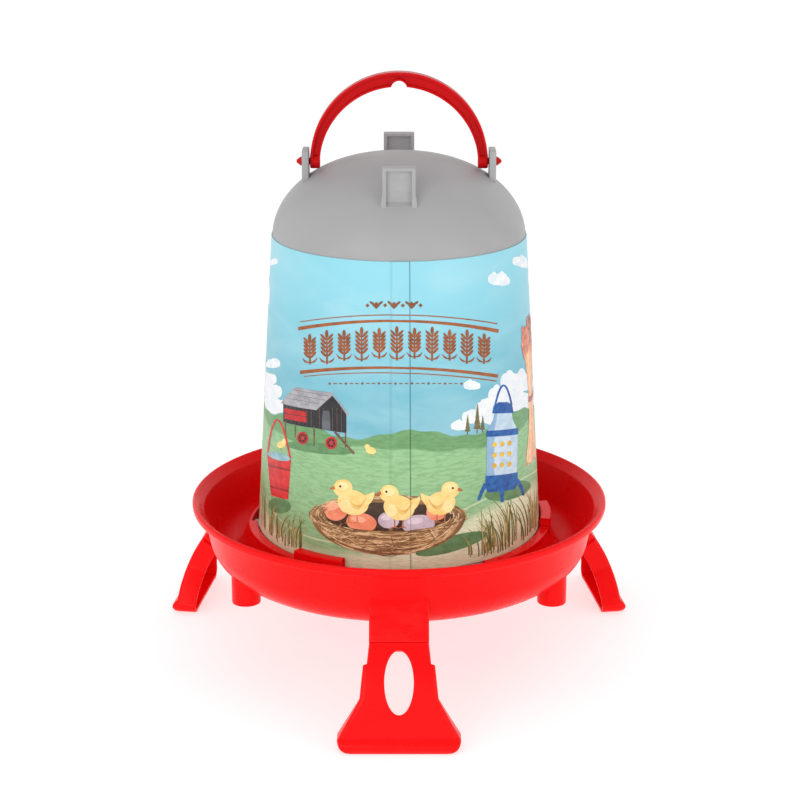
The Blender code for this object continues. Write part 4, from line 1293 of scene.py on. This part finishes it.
def make_nest_print(chance):
    """A round nest of bent stems in the meadow, with eggs and three chicks."""
    middle, level = NEST_MIDDLE
    half, tall = NEST_HALF
    body = [nest_point(half, NEST_DEPTH, turn) for turn in spread(180, 360, 30)]
    ring = ellipse(middle, level, half, tall, 0, 48)
    print_front("print_nest", [(body, 1), (ring, 0)], (150, 112, 70), (120, 86, 54), 150)
    print_front("print_nest_hollow", [(ellipse(middle, level - 0.5, half * 0.84, tall * 0.70, 0, 44), 1)],
                (74, 52, 36), (56, 40, 30), 150)
    lip = [nest_point(half * 0.86, tall * 0.72, turn) for turn in spread(184, 356, 26)]
    lip += [nest_point(half, tall * 1.3, turn) for turn in spread(356, 184, 26)]
    print_front("print_nest_front", [(lip, 13)], (146, 108, 68), (116, 84, 52), 150)
    strands = nest_strands(chance)
    tones = (("pale", (236, 210, 164), (214, 182, 132)), ("mid", (208, 170, 118), (182, 142, 94)),
             ("dark", (140, 104, 66), (112, 80, 52)))
    for index, (name, first, second) in enumerate(tones):
        print_front("print_nest_strands_" + name, strands[index::3], first, second, 200)
    warm = ((-45.5, 24.5, 8.6, 8, 20), (-27, 15.5, 11, 7.2, -8), (27, 23.5, 7.4, 6.4, 10))
    pale = ((14, 14.5, 12, 7, 5), (-7.5, 17.5, 7.6, 6.2, 0))
    print_front("print_eggs_warm", [(ellipse(*place), 5 + step) for step, place in enumerate(warm)],
                (246, 160, 122), (232, 126, 92), 50)
    print_front("print_eggs_pale", [(ellipse(*place), 5 + step) for step, place in enumerate(pale)],
                (206, 190, 200), (186, 164, 178), 50)
    for name, eggs, first, second in (("warm", warm, (250, 184, 150), (244, 168, 134)),
                                      ("pale", pale, (226, 212, 220), (214, 198, 208))):
        lights = [(ellipse(x - wide * 0.2, y + tall * 0.34, wide * 0.5, tall * 0.34, turn), 9) for x, y, wide,
                  tall, turn in eggs]
        print_front("print_egg_lights_" + name, lights, first, second, 50)
    chicks, wings, lights, beaks, eyes = [], [], [], [], []
    for across, up, side, size in ((-33, 30.5, -1, 1.12), (0, 27, -1, 1.10), (30, 30, 1, 1.05)):
        def put(x, y):
            return (across + side * size * x, up + size * y)
        chicks.append((ellipse(*put(0, 0), 10.2 * size, 8.4 * size, side * 16), 10))
        chicks.append((ellipse(*put(6.4, 9.6), 6.2 * size, 6 * size), 11))
        chicks.append((stroke((put(-5, 0), put(-10.5, 3.4), put(-13.4, 7.4)), (9 * size, 5.5 * size, 0.8), 8),
                       11))
        wings.append((stroke((put(-8.6, 3.6), put(-3.4, -2.4), put(2.4, 1.4)), (0.5, 1.6, 0.5), 12), 12))
        wings.append((stroke((put(-6.8, 0.4), put(-3, -3.9), put(1.6, -1.2)), (0.4, 1.1, 0.4), 12), 12))
        lights.append((ellipse(*put(4.6, -2.2), 3.6 * size, 4.4 * size, side * 20), 12))
        lights.append((ellipse(*put(6.8, 11), 3.6 * size, 3 * size), 12))
        beaks.append((stroke((put(11.6, 9.9), put(13.6, 9.4), put(15.4, 8.7)), (2.8, 1.9, 0.2), 4), 13))
        for x in (-2.6, 2.8):
            beaks.append((bar(put(x, -7.4), put(x, -13.4), 0.9), 9))
            beaks.append((stroke((put(x - 2.2, -14.2), put(x, -13.2), put(x + 2.6, -14)), (0.5, 0.9, 0.5), 4),
                          9))
        eyes.append((ellipse(*put(8.2, 10.8), 0.85, 0.9, 0, 12), 13))
    for across, up, side in ((-86, 73, 1), (-20, 69.5, -1)):
        chicks.append((ellipse(across, up, 3.6, 2.6, side * 14, 18), 2))
        chicks.append((ellipse(across + side * 2.6, up + 3, 1.9, 1.8, 0, 16), 3))
        beaks.append((bar((across, up - 2.2), (across, up - 4.2), 0.5), 3))
    print_front("print_chicks", chicks, (253, 226, 150), (247, 208, 122), 110)
    print_front("print_chick_wings", wings, (232, 186, 100), (220, 170, 88), 160)
    print_front("print_chick_lights", lights, (254, 233, 168), (252, 222, 146), 120)
    print_front("print_chick_beaks", beaks, (206, 122, 60), (176, 98, 52))
    print_front("print_chick_eyes", eyes, (40, 30, 28), (28, 22, 22))


# ---------------------------------------------------------------- stage

WHITE = (1.0, 1.0, 1.0, 1.0)
FLOOR_REACH = 9.0
FLOOR_RISE = 5.5
FLOOR_BEND = 3.0
FLOOR_GLOW = 0.60
WORLD_LIGHT = 0.54
LAMP_AIM = 0.20
# name, place, size and power
LAMPS = (("key_softbox", (-1.1, -2.0, 1.0), 1.2, 14.0), ("fill_softbox", (1.7, -1.8, 0.7), 1.2, 8.5),
         ("top_softbox", (0.0, 0.2, 2.4), 2.0, 9.0))
CAMERA_LENS = 90.3
CAMERA_SENSOR = 36.0
CAMERA_SHIFT = 0.00125
CAMERA_PITCH = 0.2996
CAMERA_PLACE = (0.0, AXIS_Y - 1.470, RIM_TOP + 0.5296)
# linear colour, worn colour, shade, roughness, grain and specular level
PLASTICS = {
    "red_polypropylene": ((0.88, 0.004, 0.005), (0.93, 0.04, 0.035), (0.86, 0.003, 0.004), 0.28, 1400.0,
                          0.11),
    "deep_red_polypropylene": ((0.58, 0.002, 0.004), (0.74, 0.02, 0.02), (0.55, 0.002, 0.004), 0.28, 1400.0,
                               0.11),
    "grey_polyethylene": ((0.375, 0.37, 0.375), (0.48, 0.48, 0.48), (0.35, 0.345, 0.35), 0.44, 900.0, 0.30),
}


def add_lamp(name, place, size, power):
    """A square soft lamp that faces the object."""
    data = bpy.data.lights.new(name, "AREA")
    data.shape = "RECTANGLE"
    data.size = data.size_y = size
    data.energy = power
    item = bpy.data.objects.new(name, data)
    aim = Vector((0.0, AXIS_Y, LAMP_AIM)) - Vector(place)
    item.matrix_world = Matrix.Translation(place) @ aim.to_track_quat("-Z", "Y").to_matrix().to_4x4()
    bpy.context.scene.collection.objects.link(item)


def make_stage():
    """A pale round floor that curves up at its edge, soft light and the camera."""
    mesh = bmesh.new()
    bend = arc((FLOOR_REACH - FLOOR_BEND, FLOOR_BEND), FLOOR_BEND, -90.0, 0.0, 16)
    add_turned(mesh, [(0.0, 0.0)] + bend + [(FLOOR_REACH, FLOOR_RISE)])
    floor = make_object("studio_sweep", mesh, Matrix(), 60.0)
    paint = Paint("studio_paper")
    tone = paint.mix(paint.ramp(paint.noise(3.0, 3.0), 0.3, 0.7), (0.52, 0.52, 0.52, 1.0),
                     (0.55, 0.55, 0.55, 1.0))
    paint.shader.inputs["Emission Color"].default_value = WHITE
    paint.shader.inputs["Emission Strength"].default_value = FLOOR_GLOW
    floor.data.materials.append(paint.finish(tone, 0.8, 0.2))
    for lamp in LAMPS:
        add_lamp(*lamp)
    world = bpy.data.worlds.new("studio_world")
    world.use_nodes = True
    background = world.node_tree.nodes["Background"]
    background.inputs[0].default_value = WHITE
    background.inputs[1].default_value = WORLD_LIGHT
    bpy.context.scene.world = world
    bpy.context.scene.view_settings.view_transform = "Standard"

    camera = bpy.data.cameras.new("camera")
    camera.lens = CAMERA_LENS
    camera.sensor_width = CAMERA_SENSOR
    camera.shift_x = CAMERA_SHIFT
    item = bpy.data.objects.new("camera", camera)
    tilt = Matrix.Rotation(math.pi / 2.0 - CAMERA_PITCH, 4, "X")
    item.matrix_world = Matrix.Translation(CAMERA_PLACE) @ tilt
    bpy.context.scene.collection.objects.link(item)
    bpy.context.scene.camera = item


def main():
    chance = random.Random(DRAW_SEED)
    red, deep_red, grey = (moulded_plastic(name, *look) for name, look in PLASTICS.items())
    make_tray(red)
    for name, (azimuth, direction) in LEG_PLACES.items():
        make_leg(name, azimuth, direction, red)
    make_reservoir(grey)
    make_bail(deep_red)
    make_wrap()
    make_sky_print()
    make_banner_print()
    make_shed_print()
    make_pail_print()
    make_plant_print(chance)
    make_sheaf_print(chance)
    make_nest_print(chance)
    make_stage()


main()
